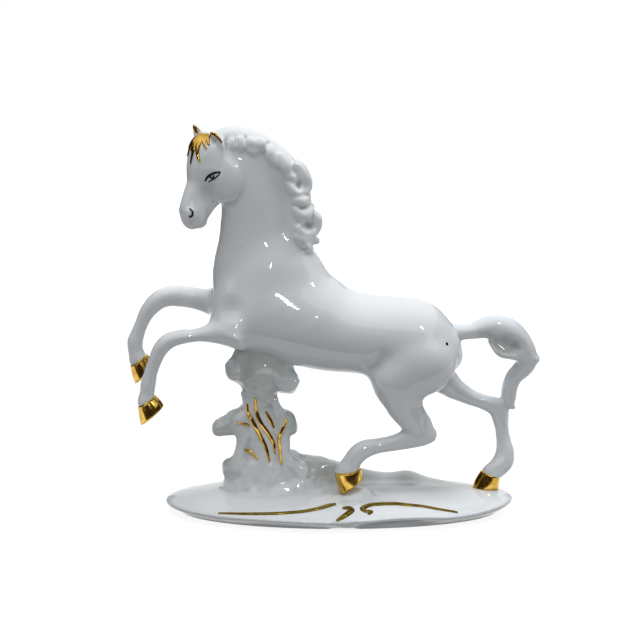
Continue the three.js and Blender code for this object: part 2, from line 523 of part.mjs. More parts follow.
const tailBody = largest(tail[1].subtract(hockClear).subtract(clear));

// Head with its ears, painted eyes and nostrils and gilt forelock, modelled square and then turned.
const headSolid = headMass(0, level);
const headShell = shell(headSolid);
let headBody = headSolid;
const headTrim = {};
function bed(name, finish, makeStrokes) {
  headTrim[name] = { body: joined(makeStrokes(0)), finish };
  headBody = headBody.subtract(joined(makeStrokes(SEAM)));
}
const onFace = (line, side) => line.map(([x, z]) => new THREE.Vector3(x, side * 20, z));
const widths = (line) => line.map((row) => row[row.length - 1]);
for (const [label, side] of [["left", -1], ["right", 1]]) {
  const inward = new THREE.Vector3(0, -side, 0);
  const draw = (line, grow) => stroke(onFace(line, side), widths(line), headShell, inward, PAINT, grow);
  const [irisX, irisZ, irisR] = EYE.iris;
  const [iris] = landed(onFace([[irisX, irisZ]], side), headShell, inward);
  bed(`${label}_eye`, "black", (grow) => [
    draw(EYE.upper, grow),
    draw(EYE.lower, grow),
    ball({ at: iris.toArray(), half: [irisR, PAINT, irisR] }, grow, 7),
  ]);
  bed(`${label}_nostril`, "black", (grow) => [draw(NOSTRIL, grow)]);
}
const backward = new THREE.Vector3(1, 0, 0);
const drawForelock = (grow) => FORELOCK.map((line) => {
  const points = line.map(([y, z]) => new THREE.Vector3(0, y, z));
  return stroke(points, widths(line), headShell, backward, REED_GILT, grow);
});
bed("forelock", "gold", drawForelock);

const unturned = headPose.clone().invert();
const ears = {};
for (const [label, shape] of Object.entries(EARS)) {
  const clearEar = solid(ear(shape, SEAM).applyMatrix4(unturned));
  ears[label] = largest(solid(ear(shape, 0).applyMatrix4(unturned)).subtract(headMass(SEAM, level)));
  for (const trim of Object.values(headTrim)) {
    trim.body = trim.body.subtract(clearEar);
  }
}

// Mane: a crest on a thick bed along the neck, with locks thrown off it to both sides.
const crest = [sweep(rowsOf(CREST), { sides: 8 }), sweep(rowsOf(MANE_BED), { sides: 10 })];
const neckAndCrest = shell(joined(crest).add(whole));
function lock(stations, side) {
  const inward = new THREE.Vector3(0, -side, 0);
  const spots = landed(onFace(stations, side), neckAndCrest, inward);
  const rows = stations.map(([x, z, girth], i) => {
    const out = (spots[i] ? side * spots[i].y : FREE_LOCK) + LOCK_LIFT * girth;
    return [new THREE.Vector3(x, side * out, z), LOCK_GIRTH * girth, LOCK_GIRTH * girth];
  });
  return sweep(rows, { sides: 5 });
}
const locks = LOCKS.flatMap((stations) => [lock(stations, -1), lock(stations, 1)]);
const tuftClear = joined(drawForelock(SEAM).map((part) => part.applyMatrix4(headPose)));
const maneBody = largest(
  joined([...crest, ...locks])
    .subtract(neckMass(SEAM)).subtract(clear).subtract(headMass(SEAM, headPose))
    .subtract(clearEars).subtract(tuftClear),
);

// Stump: trimmed to the belly above and the base below, hollow, open into the drain hole.
function ledge({ at, half, taper, top, sides, turn }) {
  const block = new THREE.CylinderGeometry(taper, 1, top - LEDGE_ROOT, sides);
  block.rotateX(Math.PI / 2).rotateZ(degrees(turn)).scale(half[0], half[1], 1);
  return block.translate(at[0], at[1], (top + LEDGE_ROOT) / 2);
}
const trunkRows = rowsOf(TRUNK);
const stumpMass = joined([
  sweep(trunkRows, { sides: 10 }),
  ...BOUGHS.map((rows) => sweep(rowsOf(rows), { sides: 7 })),
  ...STUMP_EDGES.map((rows) => sweep(rowsOf(rows), { sides: 5 })),
  ...LUMPS.map((lump) => ball(lump, 0, 8)),
  ...LEDGES.map(ledge),
]);
const stumpHollow = solid(sweep(trunkRows.slice(0, -3), { sides: 8, grow: -WALL }));
const stumpSolid = stumpMass.subtract(clear).subtract(ground(SEAM));
let stumpBody = largest(stumpSolid.subtract(stumpHollow));
const stumpShell = shell(stumpSolid);
const forward = new THREE.Vector3(0, 1, 0);
const reeds = {};
for (const [name, line] of Object.entries(REEDS)) {
  const points = line.map(([x, z]) => new THREE.Vector3(x, -50, z));
  const draw = (grow) => solid(stroke(points, widths(line), stumpShell, forward, REED_GILT, grow));
  reeds[name] = draw(0);
  stumpBody = stumpBody.subtract(draw(SEAM));
}

const downward = new THREE.Vector3(0, 0, -1);
const baseShell = shell(baseBody);
let baseCut = baseBody.subtract(solid(drainHole));
const scrolls = {};
for (const [name, line] of Object.entries(SCROLLS)) {
  const points = line.map(([x, y]) => new THREE.Vector3(x, y, 50));
  const draw = (grow) => solid(stroke(points, widths(line), baseShell, downward, SCROLL_GILT, grow));
  scrolls[name] = draw(0);
  baseCut = baseCut.subtract(draw(SEAM));
}

add("base", baseCut, "porcelain");
add("stump", stumpBody, "porcelain");
add("torso", torsoBody, "porcelain");
add("neck", neckBody, "porcelain");
add("mane", maneBody, "porcelain");
add("tail", tailBody, "porcelain");
for (const [name, { leg, hoof }] of Object.entries(limbs)) {
  add(`${name}_leg`, leg, "porcelain");
  add(`${name}_hoof`, hoof, "gold");
}
add("head", headBody, "porcelain", headGroup);
add("left_ear", ears.left, "porcelain", headGroup);
add("right_ear", ears.right, "porcelain", headGroup);
for (const [name, { body, finish }] of Object.entries(headTrim)) {
  add(name, body, finish, headGroup);
}
for (const [name, body] of Object.entries(reeds)) {
  add(name, body, "gold");
}
for (const [name, body] of Object.entries(scrolls)) {
  add(name, body, "gold");
}

// The frame's origin is the middle of the whole figurine's footprint, at the table.
const figurine = new THREE.Group();
figurine.name = "porcelain_horse";
pieces.add(headGroup);
const extent = new THREE.Box3().setFromObject(pieces);
const middle = extent.getCenter(new THREE.Vector3());
pieces.position.set(-middle.x, -middle.y, STAND_HEIGHT);
figurine.add(pieces);

export default figurine;
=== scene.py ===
# %% [markdown]
# # A glazed porcelain horse
# The real figurine is slip-cast in several moulds. The castings are joined with slip, glazed as one
# and fired, and then gold and black are brushed on and fired again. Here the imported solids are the
# fixed frame, and each casting gets a glazed skin that follows them. The skin is modelled as clay is:
# built up from simple lumps, melted together, sponged smooth and pressed with a thumb.

# %% Load the solids
import math
import bmesh
import bpy
from mathutils import Matrix, Vector, noise
from mathutils.bvhtree import BVHTree
from mathutils.kdtree import KDTree


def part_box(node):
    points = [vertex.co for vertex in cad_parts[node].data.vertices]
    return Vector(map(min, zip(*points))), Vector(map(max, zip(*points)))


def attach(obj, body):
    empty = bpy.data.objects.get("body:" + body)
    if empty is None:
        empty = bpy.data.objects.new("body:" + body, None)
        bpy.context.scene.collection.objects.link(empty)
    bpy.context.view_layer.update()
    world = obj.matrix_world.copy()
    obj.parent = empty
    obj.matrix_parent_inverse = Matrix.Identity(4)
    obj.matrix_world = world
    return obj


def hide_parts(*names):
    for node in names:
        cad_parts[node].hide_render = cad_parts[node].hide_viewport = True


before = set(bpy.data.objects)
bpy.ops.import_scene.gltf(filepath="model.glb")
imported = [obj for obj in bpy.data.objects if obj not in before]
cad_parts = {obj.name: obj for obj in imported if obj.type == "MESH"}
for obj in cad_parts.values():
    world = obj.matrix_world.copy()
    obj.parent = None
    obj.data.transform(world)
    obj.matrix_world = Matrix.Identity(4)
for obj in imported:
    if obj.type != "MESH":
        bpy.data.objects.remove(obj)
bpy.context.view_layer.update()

# %% [markdown]
# The sculptor's numbers are in millimetres, with the height counted from the plane the hooves stand
# on and the length counted from the middle of the base. One matrix turns them into the frame of the
# solids, which is in metres and has its origin under the middle of the whole figurine.

# %% The sculptor's frame
STAND = 10.0
BASE_MIDDLE = 1000 * (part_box("base")[0][0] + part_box("base")[1][0]) / 2
TO_FRAME = Matrix.Scale(0.001, 4) @ Matrix.Translation((BASE_MIDDLE, 0, STAND))
ALONG = Vector((1, 0, 0))
ACROSS = Vector((0, 1, 0))
DOWN = Vector((0, 0, -1))
print("base middle at", round(BASE_MIDDLE, 2), "mm")

# %% [markdown]
# Clay is built up from two shapes: a loft, which skins oval rings along a limb, and an egg, which
# is a muscle. A loft's rows are x, z, half depth in the side view, half width and y, and a sixth
# number, where there is one, tilts the ring. A limb could also be a curve with a bevel, but its
# section could not turn from tall to flat on the way. Between the rows a smooth curve fills in more
# rings, and each ring is bridged to the one before.

# %% Rows into rings
def curve_between(p, q, r, s, t):
    bend = 2 * p - 5 * q + 4 * r - s
    twist = 3 * q - p - 3 * r + s
    return 0.5 * (2 * q + (r - p) * t + bend * t ** 2 + twist * t ** 3)


def smooth_rows(rows, steps):
    full = [list(row) + [0.0] * (5 - len(row)) for row in rows]
    padded = [full[0]] + full + [full[-1]]
    dense = []
    for a, b, c, d in zip(padded, padded[1:], padded[2:], padded[3:]):
        for step in range(steps):
            dense.append([curve_between(*four, step / steps) for four in zip(a, b, c, d)])
    return dense + [full[-1]]


def skin_rings(clay, spots, sizes, across=ACROSS, sides=24, turns=None):
    before = None
    last = len(spots) - 1
    for i, spot in enumerate(spots):
        along = (spots[min(i + 1, last)] - spots[max(i - 1, 0)]).normalized()
        face = across[i] if isinstance(across, list) else across
        side = (face - along * face.dot(along)).normalized()
        rise = along.cross(side)
        if turns:
            tilted = Vector((math.cos(turns[i]), 0, math.sin(turns[i])))
            rise = tilted if tilted.dot(rise) > 0 else -tilted
            side = face
        depth, width = sizes[i]
        pose = Matrix((side * width, rise * depth, along)).transposed().to_4x4()
        pose.translation = spot
        ring = bmesh.ops.create_circle(
            clay, segments=sides, radius=1, cap_ends=i in (0, last), matrix=pose
        )["verts"]
        edges = list({edge for vert in ring for edge in vert.link_edges})
        if before:
            bmesh.ops.bridge_loops(clay, edges=before + edges)
        before = edges


# %% Lofts and eggs
THINNEST = 0.2


def loft(clay, rows, out=0.0, steps=5, sides=24, across=ACROSS):
    dense = smooth_rows(rows, steps)
    spots = [Vector((row[0], row[4] + out, row[1])) for row in dense]
    sizes = [(max(row[2], THINNEST), max(row[3], THINNEST)) for row in dense]
    turns = [math.radians(row[5]) for row in dense] if len(dense[0]) > 5 else None
    skin_rings(clay, spots, sizes, across, sides, turns)


def egg(clay, centre, half, turn=0.0):
    pose = Matrix.Translation(centre) @ Matrix.Rotation(math.radians(turn), 4, "Y")
    bmesh.ops.create_uvsphere(
        clay, u_segments=28, v_segments=18, radius=1, matrix=pose @ Matrix.Diagonal((*half, 1))
    )


print("tools: loft, egg")

# %% [markdown]
# ## The horse
# Barrel, neck and legs follow the same stations as the solids, so that each casting lies on its own
# solid. The neck's rings are given their tilts one by one, because it bends sharply behind the head and
# rings that stand square on its line would cross there.

# %% Barrel and neck in clay
BARREL = [
    (-61.5, 94, 7, 7), (-57, 93, 14, 13), (-47, 92, 20, 16.5), (-31, 91, 23.5, 18.5),
    (-16, 88, 24.5, 19.5), (-5, 83.5, 22, 20), (5, 81, 20, 20), (17, 79.5, 19.5, 19.5),
    (29, 78, 20.5, 19), (39, 76, 20.5, 18), (48, 74.6, 17.4, 15), (54.5, 75, 13.4, 11), (58.5, 76, 8, 7),
]
NECK = [
    (-36, 98, 25, 14.5, 0, 6), (-37.9, 111, 24, 12.2, 0, 10), (-39.3, 121.3, 21.8, 10.4, 0, 13),
    (-40, 131, 20.2, 9.6, 0, 21), (-41, 140.4, 19.4, 9.4, 0, 29), (-42.4, 150, 19.4, 9.2, 0, 42),
    (-47.2, 158.4, 19.2, 9, 0, 61), (-52, 160.6, 17.8, 8.6, 0, 76), (-57, 160.5, 14, 8, 0, 88),
]
horse = bmesh.new()
loft(horse, BARREL, sides=40, steps=4)
loft(horse, NECK, sides=36, steps=5)
print("barrel and neck:", len(horse.faces), "faces")

# %% Legs in clay
HALF_FORE = 12
HALF_HIND = 11
LEFT_FORELEG = [
    (-45, 84.5, 10.5, 7.5, -3), (-51, 84, 8.2, 7, -1), (-57, 83.5, 6.4, 6.2), (-62.8, 83, 5.1, 5.2),
    (-69, 82.3, 4, 4.5), (-76, 81.4, 3.6, 4.1), (-81.5, 79.5, 4, 4.2), (-85.5, 75.5, 3.8, 4),
    (-88.2, 69.7, 3.4, 3.5), (-90.4, 63.5, 3.4, 3.4), (-91.8, 58, 3.9, 3.8), (-92.4, 53.8, 3.7, 3.9),
    (-92.8, 50, 4.6, 4.6), (-92.2, 47.4, 4.4, 4.4),
]
RIGHT_FORELEG = [
    (-50, 92, 10, 7.5, -4), (-57.5, 93, 8.4, 7, -1), (-65, 93.9, 6.9, 6), (-73, 95.6, 6, 5.3),
    (-80, 96.4, 5.3, 4.8), (-86, 95.4, 4.9, 4.6), (-90.4, 92.4, 4.5, 4.4), (-94.2, 88, 3.9, 3.9),
    (-96.8, 82.7, 3.4, 3.5), (-99, 77.4, 3.6, 3.5), (-100.4, 73, 4.1, 3.9), (-100.2, 68.6, 3.9, 3.9),
    (-99, 64, 4.8, 4.6), (-98.2, 61.6, 4.4, 4.4),
]
LEFT_GASKIN = [
    (28, 68, 15, 10, -1), (29, 57, 14, 9.4), (30.6, 49.4, 10, 7.4), (33.7, 43.5, 8.2, 6),
    (37.4, 38.8, 7.2, 5), (40.8, 34.6, 5.6, 4.4), (43, 31.6, 3, 3),
]
LEFT_HIND_CANNON = [
    (47, 31.8, 2.6, 2.6), (42.5, 32.4, 4.8, 4.2), (35, 31, 5.2, 4.2), (26.4, 28.5, 4.1, 3.8),
    (18.5, 27, 3.9, 3.6), (12.4, 25.4, 4.7, 4.1), (8.4, 22.4, 4.7, 4.3), (5.8, 18.4, 4.7, 4.4),
    (4.2, 14.7, 6, 5.2), (4.2, 12.4, 5.6, 5),
]
RIGHT_GASKIN = [
    (38, 67, 12, 8, -2), (46, 59, 10, 7.6), (53.6, 52.7, 7.4, 6.5), (58.6, 48.9, 5.4, 5.2),
    (64.9, 45.3, 4.1, 4.3), (70.9, 43.1, 3.9, 4), (76.5, 41, 4.5, 4.1), (81, 39.6, 3.9, 3.6),
    (83.4, 39, 2, 2),
]
RIGHT_HIND_CANNON = [
    (79.2, 44.5, 2.8, 2.8), (79.6, 40, 4.6, 4), (80, 36, 4.6, 4, -0.5), (80.8, 30.8, 3.7, 3.5, -1),
    (81.7, 24.5, 3.7, 3.4, -2), (82.6, 18.2, 4.8, 4.2, -3), (81.8, 13.4, 5.4, 4.6, -4),
    (78.8, 10, 5, 4.6, -5), (75.6, 7.4, 4.8, 4.6, -5), (74.4, 5.8, 4.6, 4.4, -5),
]
loft(horse, LEFT_FORELEG, -HALF_FORE)
loft(horse, RIGHT_FORELEG, HALF_FORE)
loft(horse, LEFT_GASKIN, -HALF_HIND)
loft(horse, LEFT_HIND_CANNON, -HALF_HIND)
loft(horse, RIGHT_GASKIN, HALF_HIND)
loft(horse, RIGHT_HIND_CANNON, HALF_HIND)
print("with legs:", len(horse.faces), "faces")

# %% [markdown]
# The muscles that catch the light are added as eggs on both sides, each with its middle, its half
# sizes and its turn in the side view. A thick bed along the crest carries the mane.

# %% Muscles in clay
MANE_BED = [
    (-19.6, 118, 6, 8), (-20, 124, 7, 9.6), (-20, 133, 7.4, 9.8), (-20.6, 143, 7.4, 9.4),
    (-22, 152, 7.4, 9), (-27, 160, 7.4, 8.6), (-34, 166.6, 7, 8), (-41.5, 170.6, 6.6, 7.6),
    (-48.6, 172.6, 5.6, 7), (-52, 173, 4, 6),
]
MUSCLES = {
    "haunch": ((36, 9.5, 68), (20.5, 12, 17.5), 0),
    "stifle": ((23.8, 12.4, 61.6), (9.6, 9, 10.4), 0),
    "dock": ((50, 0.1, 80), (10, 6, 5.4), 14),
    "shoulder_blade": ((-37, 6.8, 106), (24, 8.4, 15), -48),
    "withers": ((-24, 3.8, 106), (19, 10.2, 20), -20),
    "upper_arm": ((-42, 9, 94), (12, 8.8, 12), 20),
    "breast": ((-52, 7.6, 97), (9, 7.4, 13), 0),
}
loft(horse, MANE_BED)
for centre, half, turn in MUSCLES.values():
    for side in (-1, 1):
        egg(horse, (centre[0], side * centre[1], centre[2]), half, turn)
print("body clay:", len(horse.faces), "faces")

# %% [markdown]
# Wet slip softens every joint. A voxel remesh melts the overlapping clay into one skin, and rounds of
# vertex smoothing do what the modeller's sponge does. Boolean unions would keep a hard crease at every
# joint. The body is melted coarsely first, so that its muscles flow together, and then melted again
# with the finely modelled head, mane and tail.

# %% Melt and sponge
def melt(parts, voxel):
    mesh = bpy.data.meshes.new("clay")
    clay = bmesh.new()
    for part in parts:
        part.to_mesh(mesh)
        part.free()
        clay.from_mesh(mesh)
    bmesh.ops.recalc_face_normals(clay, faces=clay.faces)
    clay.to_mesh(mesh)
    clay.free()
    lump = bpy.data.objects.new("clay", mesh)
    bpy.context.scene.collection.objects.link(lump)
    remesh = lump.modifiers.new("melt", "REMESH")
    remesh.mode = "VOXEL"
    remesh.voxel_size = voxel
    graph = bpy.context.evaluated_depsgraph_get()
    melted = bpy.data.meshes.new_from_object(lump.evaluated_get(graph))
    skin = bmesh.new()
    skin.from_mesh(melted)
    bpy.data.objects.remove(lump)
    bpy.data.meshes.remove(mesh)
    bpy.data.meshes.remove(melted)
    return skin


def in_reach(vert, spots):
    return any((vert.co - Vector(spot)).length < reach for spot, reach in spots)


def sponge(skin, rounds, spots=None):
    verts = [vert for vert in skin.verts if spots is None or in_reach(vert, spots)]
    for _ in range(rounds):
        bmesh.ops.smooth_vert(
            skin, verts=verts, factor=0.5, use_axis_x=True, use_axis_y=True, use_axis_z=True
        )


# %% Body skin
BODY_VOXEL = 1.0
SOFT_JOINTS = [
    ((-62, -12, 84), 12), ((-62, 12, 94), 16), ((-20, 0, 90), 30), ((10, 0, 82), 32), ((40, 0, 76), 28),
    ((-40, 0, 138), 24), ((-44, 0, 150), 24), ((50, 12, 60), 15), ((42, 0, 64), 16),
]
SOFT_MUSCLES = [
    ((-46, 0, 92), 30), ((-36, 0, 112), 30), ((22, 0, 62), 22), ((36, 0, 50), 16), ((-26, 0, 124), 14),
    ((-27, 0, 138), 14), ((-29, 0, 150), 14), ((-35, 0, 160), 13), ((-44, 0, 167), 11),
]
SOFT_SHOULDERS = [
    ((-28, -17, 108), 24), ((-28, 17, 108), 24), ((-44, -16, 100), 18), ((-44, 16, 100), 18),
]
body_skin = melt([horse], BODY_VOXEL)
sponge(body_skin, rounds=3)
sponge(body_skin, rounds=40, spots=SOFT_JOINTS)
sponge(body_skin, rounds=30, spots=SOFT_MUSCLES)
sponge(body_skin, rounds=90, spots=SOFT_SHOULDERS)
body_tree = BVHTree.FromBMesh(body_skin)
print("body skin:", len(body_skin.faces), "faces")

# %% [markdown]
# The head is modelled square and then turned toward the horse's left, as the sculptor turned it. It
# is a wedge with round cheeks, brows over the eyes, nostril wings, a jaw and a chin. The turn pushes
# the near cheek out over the neck, so that cheek gets two more eggs after the turn.

# %% Head in clay
HEAD_PIVOT = Vector((-52, 0, 0))
HEAD_ANGLE = 30
HEAD_TURN = (
    Matrix.Translation(HEAD_PIVOT)
    @ Matrix.Rotation(math.radians(HEAD_ANGLE), 4, "Z")
    @ Matrix.Translation(-HEAD_PIVOT)
)
FACE = [
    (-60, 177, 5.5, 5.5), (-62.7, 170.5, 9, 8), (-64.5, 162, 9.2, 8.2), (-65.9, 154, 8.2, 6.6),
    (-69.4, 147, 7.3, 5.4), (-71, 141.5, 7.2, 5.8), (-71, 137, 5.8, 5.2), (-70, 134, 3, 3),
]
JAW = [(-67.5, 138, 3, 3.4), (-64.4, 143.6, 4, 3.8), (-61, 149, 6, 4.4), (-58, 154, 8, 5)]
FACE_LUMPS = {
    "cheek": ((-55.2, 2.6, 157.6), (12.6, 7, 12.8)),
    "brow": ((-65, 5.6, 162), (5, 3, 3)),
    "nostril_wing": ((-74.6, 3.6, 141.5), (2.6, 2.4, 3.2)),
}
CHIN = ((-69.5, 0, 136.5), (5, 4.4, 3.4))
NEAR_CHEEK = [((-54.8, -7.9, 156), (10.2, 3.4, 10.8), 0), ((-55.8, -7.6, 160.6), (7.4, 3.9, 14.5), -32)]
head = bmesh.new()
loft(head, FACE, sides=32, steps=6)
loft(head, JAW, sides=20)
for side in (-1, 1):
    for centre, half in FACE_LUMPS.values():
        egg(head, (centre[0], side * centre[1], centre[2]), half)
egg(head, *CHIN)
bmesh.ops.transform(head, matrix=HEAD_TURN, verts=head.verts)
for centre, half, turn in NEAR_CHEEK:
    egg(head, centre, half, turn)
print("head clay:", len(head.faces), "faces")

# %% [markdown]
# Each ear is a leaf: a root, a middle, a tip and the direction that its open side faces.

# %% Ears in clay
EARS = {
    "left_ear": ((-56.4, -7.4, 168.6), (-57.5, -10, 174), (-59.4, -12, 179.2), (-0.4, -0.9, 0.15)),
    "right_ear": ((-65, 4.4, 170), (-66.8, 4.6, 176), (-69, 4.8, 180.9), (-0.6, -0.75, 0.2)),
}
EAR_SIZES = [(4, 2.2), (3, 1.5), (0.7, 0.7)]
for root, middle, tip, opening in EARS.values():
    stations = [(*spot, *size) for spot, size in zip((root, middle, tip), EAR_SIZES)]
    dense = smooth_rows(stations, 6)
    spots = [Vector(row[:3]) for row in dense]
    sizes = [row[3:5] for row in dense]
    skin_rings(head, spots, sizes, Vector(opening), sides=16)
print("with ears:", len(head.faces), "faces")

# %% [markdown]
# The mane is a smooth crest with thick locks thrown to both sides. Each lock is a short fat loft, drawn
# in the side view as x, z and girth. A ray from the side drops it onto the neck or the crest, and where
# it passes beyond both it hangs close to the middle. So the locks stay on the neck if the neck changes.

# %% Mane in clay
CREST = [
    (-17, 110, 4, 4.4), (-17, 121, 4, 5), (-16.6, 131, 4, 5.4), (-17.6, 142, 4, 5.8),
    (-19.2, 152, 4.2, 6.4), (-24.4, 161.6, 4.5, 7), (-32.8, 169, 4.8, 7), (-41, 173.6, 4.8, 6.8),
    (-49, 175.6, 4.8, 6.4), (-55, 175.8, 3.8, 5.4), (-59, 174.6, 2.4, 3.6), (-62, 173, 1, 1.4),
]
LOCKS = [
    [(-51.2, 175.4, 1), (-50, 173, 1.5), (-50.6, 170.4, 0.9)],
    [(-47.6, 176, 1.2), (-46.6, 173.4, 1.9), (-45.4, 170.2, 1.2)],
    [(-43.2, 175.4, 1.2), (-41.8, 173.2, 1.9), (-39.4, 171.6, 1.5)],
    [(-38.6, 175, 1.1), (-37.2, 172.6, 1.8), (-35.8, 170, 1.1)],
    [(-43.4, 171.2, 0.9), (-41, 169.6, 1.3), (-38, 169.2, 0.9)],
    [(-33.6, 172, 1), (-32.6, 168.8, 1.6), (-31.2, 165.2, 1.4), (-28.8, 162.6, 0.8)],
    [(-28.8, 168.4, 1.1), (-27, 165.2, 1.8), (-25.2, 161.8, 1.8), (-24.6, 158.6, 1)],
    [(-25.8, 160.2, 0.8), (-23.8, 157.8, 1.3), (-21.2, 156.4, 0.9)],
    [(-23, 163.4, 1.2), (-19.8, 160.8, 2), (-17.4, 157, 2.1), (-15.4, 152.6, 1.8), (-15.8, 149.4, 1)],
    [(-24.4, 155.2, 0.8), (-22.6, 152, 1.2), (-19.8, 149.8, 1.2), (-17.4, 149.6, 0.8)],
    [(-14.4, 147.4, 1.2), (-17.6, 145.8, 1.6), (-21.8, 147, 1)],
    [(-13.6, 143, 1.3), (-15, 140.4, 1.8), (-18, 139.2, 1.6), (-21.4, 143, 0.9)],
    [(-13.2, 139.2, 1.2), (-11, 136.4, 1.7), (-11.2, 132.4, 1.7), (-14, 129.8, 1.5), (-17.8, 130.6, 1.3),
     (-20, 134.6, 1)],
    [(-20.8, 130.4, 1), (-17.4, 127.4, 1.6), (-13.2, 126.6, 1.6), (-9.6, 125.2, 0.7)],
    [(-18.6, 125.8, 0.9), (-15.4, 123.4, 1.5), (-12.8, 120.4, 0.7)],
]
LOCK_DEPTH = 1.6
LOCK_WIDTH = 0.9
LOCK_LIFT = 0.25
FREE_LOCK = 2.4
BESIDE_NECK = 60
mane = bmesh.new()
loft(mane, CREST, sides=20)
mane_tree = BVHTree.FromBMesh(mane)


def side_reach(x, z, side):
    start = Vector((x, side * BESIDE_NECK, z))
    hits = [tree.ray_cast(start, -side * ACROSS)[0] for tree in (body_tree, mane_tree)]
    return max((side * hit.y for hit in hits if hit), default=FREE_LOCK)


for lock in LOCKS:
    for side in (-1, 1):
        rows = []
        for x, z, girth in lock:
            out = side * (side_reach(x, z, side) + LOCK_LIFT * girth)
            rows.append((x, z, LOCK_DEPTH * girth, LOCK_WIDTH * girth, out))
        loft(mane, rows, sides=8)
print("mane clay:", len(LOCKS) * 2, "locks")

# %% [markdown]
# The tail leaves the croup as a thin stem, swells into a thick twisted lock with a cupped hollow on its
# near side, kicks out at the back and comes to rest on the far hock. The lip of the cup is a loft of
# its own, because the hollow is pressed in beside it later.

# %% Tail in clay
TAIL = [
    (50, 81, 4, 4, 0), (57, 81, 4, 4, 0), (64, 81.5, 3.9, 4.2, 0), (70.5, 82.9, 5.3, 4.8, 1),
    (76, 82.6, 6.5, 5.4, 2), (82, 79.6, 7.2, 6, 3.4), (87, 74.5, 6.8, 6, 4.8), (91, 69, 5.6, 5.6, 6),
    (92, 64.2, 5, 5.2, 7.4), (89.8, 60.2, 4.6, 5, 8.6), (86.6, 56.4, 4.2, 4.6, 9.8),
    (84.8, 51.6, 4, 4.2, 11), (84.2, 46.4, 3.9, 4, 12), (84.6, 42.4, 3.4, 3.4, 12.4),
    (86.4, 39.8, 1.6, 2, 12.6), (88, 39.4, 0.6, 0.8, 12.4),
]
CUP_LIP = [
    (73, 77.4, 1.6, 1.8, -1), (75.8, 73.2, 2, 2, -1.4), (78.8, 70.4, 2.1, 2, -0.8), (83, 69.2, 2, 2, 0.6),
    (87, 67.4, 1.6, 1.8, 2.4),
]
TAIL_KICK = ((94.6, 6.4, 66.8), (4, 4.6, 2.8), 30)
tail = bmesh.new()
loft(tail, TAIL)
loft(tail, CUP_LIP, sides=14)
egg(tail, *TAIL_KICK)
print("tail clay:", len(tail.faces), "faces")

# %% [markdown]
# Hollows are pressed in with a thumb, as in real clay: points near the spot move, most in the middle
# and not at all at the edge of its reach. A press is a spot, a reach along each axis and a move.

# %% Thumb
def thumb(skin, presses):
    finder = KDTree(len(skin.verts))
    skin.verts.ensure_lookup_table()
    for vert in skin.verts:
        finder.insert(vert.co, vert.index)
    finder.balance()
    for spot, reach, move in presses:
        for _, index, _ in finder.find_range(spot, max(reach)):
            vert = skin.verts[index]
            offset = vert.co - Vector(spot)
            far = sum((offset[axis] / reach[axis]) ** 2 for axis in range(3))
            if far < 1:
                vert.co += Vector(move) * (1 - far) ** 2


def on_head(spot, reach, move):
    return HEAD_TURN @ Vector(spot), reach, HEAD_TURN.to_3x3() @ Vector(move)


# %% Horse skin
HORSE_VOXEL = 0.55
TAIL_DENTS = [
    ((75.6, -3.5, 76.4), (7, 7, 5), (0, 3, 0)), ((81, -3, 75), (8, 7, 6), (0, 4.4, 0)),
    ((85.4, -1.5, 73.4), (6, 6, 5), (0, 2.6, 0)), ((69, -4, 79.6), (6, 5, 2.8), (0, 1.8, 0)),
]
BODY_DENTS = [
    ((-51.3, -15, 95.8), (8, 9, 8), (0.2, 1.1, 0)), ((40.8, -15.5, 39), (2.6, 4, 6.4), (0, 0.9, 0)),
    ((15, -19, 68.6), (8, 7, 6), (0, 1.4, 0)), ((20, -19, 73.4), (7, 7, 6), (0, 0.7, 0)),
]
MANE_DENTS = [
    ((-15.6, -6, 133.8), (3.2, 6, 3.2), (0, 3.6, 0)), ((-19.4, -8, 153.4), (2.2, 5, 3.2), (0, 2.2, 0)),
    ((-17.4, -6, 123.6), (3, 5, 2.4), (0, 1.8, 0)), ((-17.6, -7, 143.2), (3.6, 5, 1.6), (0, 1.4, 0)),
    ((-48.6, -6, 174), (1.3, 5, 3), (0, 1.4, 0)), ((-44.4, -6, 174.6), (1.2, 5, 3), (0, 1.4, 0)),
    ((-33.4, -6, 172.6), (1.6, 5, 3.4), (0, 1.6, 0)),
]
FACE_DENTS = [
    on_head((-67, -7, 150.5), (6, 5, 8), (0, 1.6, 0)), on_head((-67, 7, 150.5), (6, 5, 8), (0, -1.6, 0)),
]
EAR_DENTS = [
    ((-58.6, -11.4, 175), (2.2, 2.4, 3.4), (0.4, 1.1, -0.1)),
    ((-67.4, 3, 177.4), (2.4, 2.4, 3.2), (0.6, 0.8, -0.2)),
]
SOFT_CHEEK = [((-55, -11, 159), 12)]
horse_skin = melt([body_skin, head, mane, tail], HORSE_VOXEL)
sponge(horse_skin, rounds=3)
sponge(horse_skin, rounds=24, spots=SOFT_CHEEK)
thumb(horse_skin, TAIL_DENTS + BODY_DENTS + MANE_DENTS + FACE_DENTS + EAR_DENTS)
sponge(horse_skin, rounds=3)
print("horse skin:", len(horse_skin.faces), "faces")

# %% [markdown]
# ## The base and the stump
# The base is a shallow oval lens on a foot ring. It is made ring by ring, each with a level and an
# inset from the widest outline: from the hollow underneath, over the ground foot and the rim, to the
# crown. A low ridge of rock runs along the back, and a tongue of slip laps over the front edge.

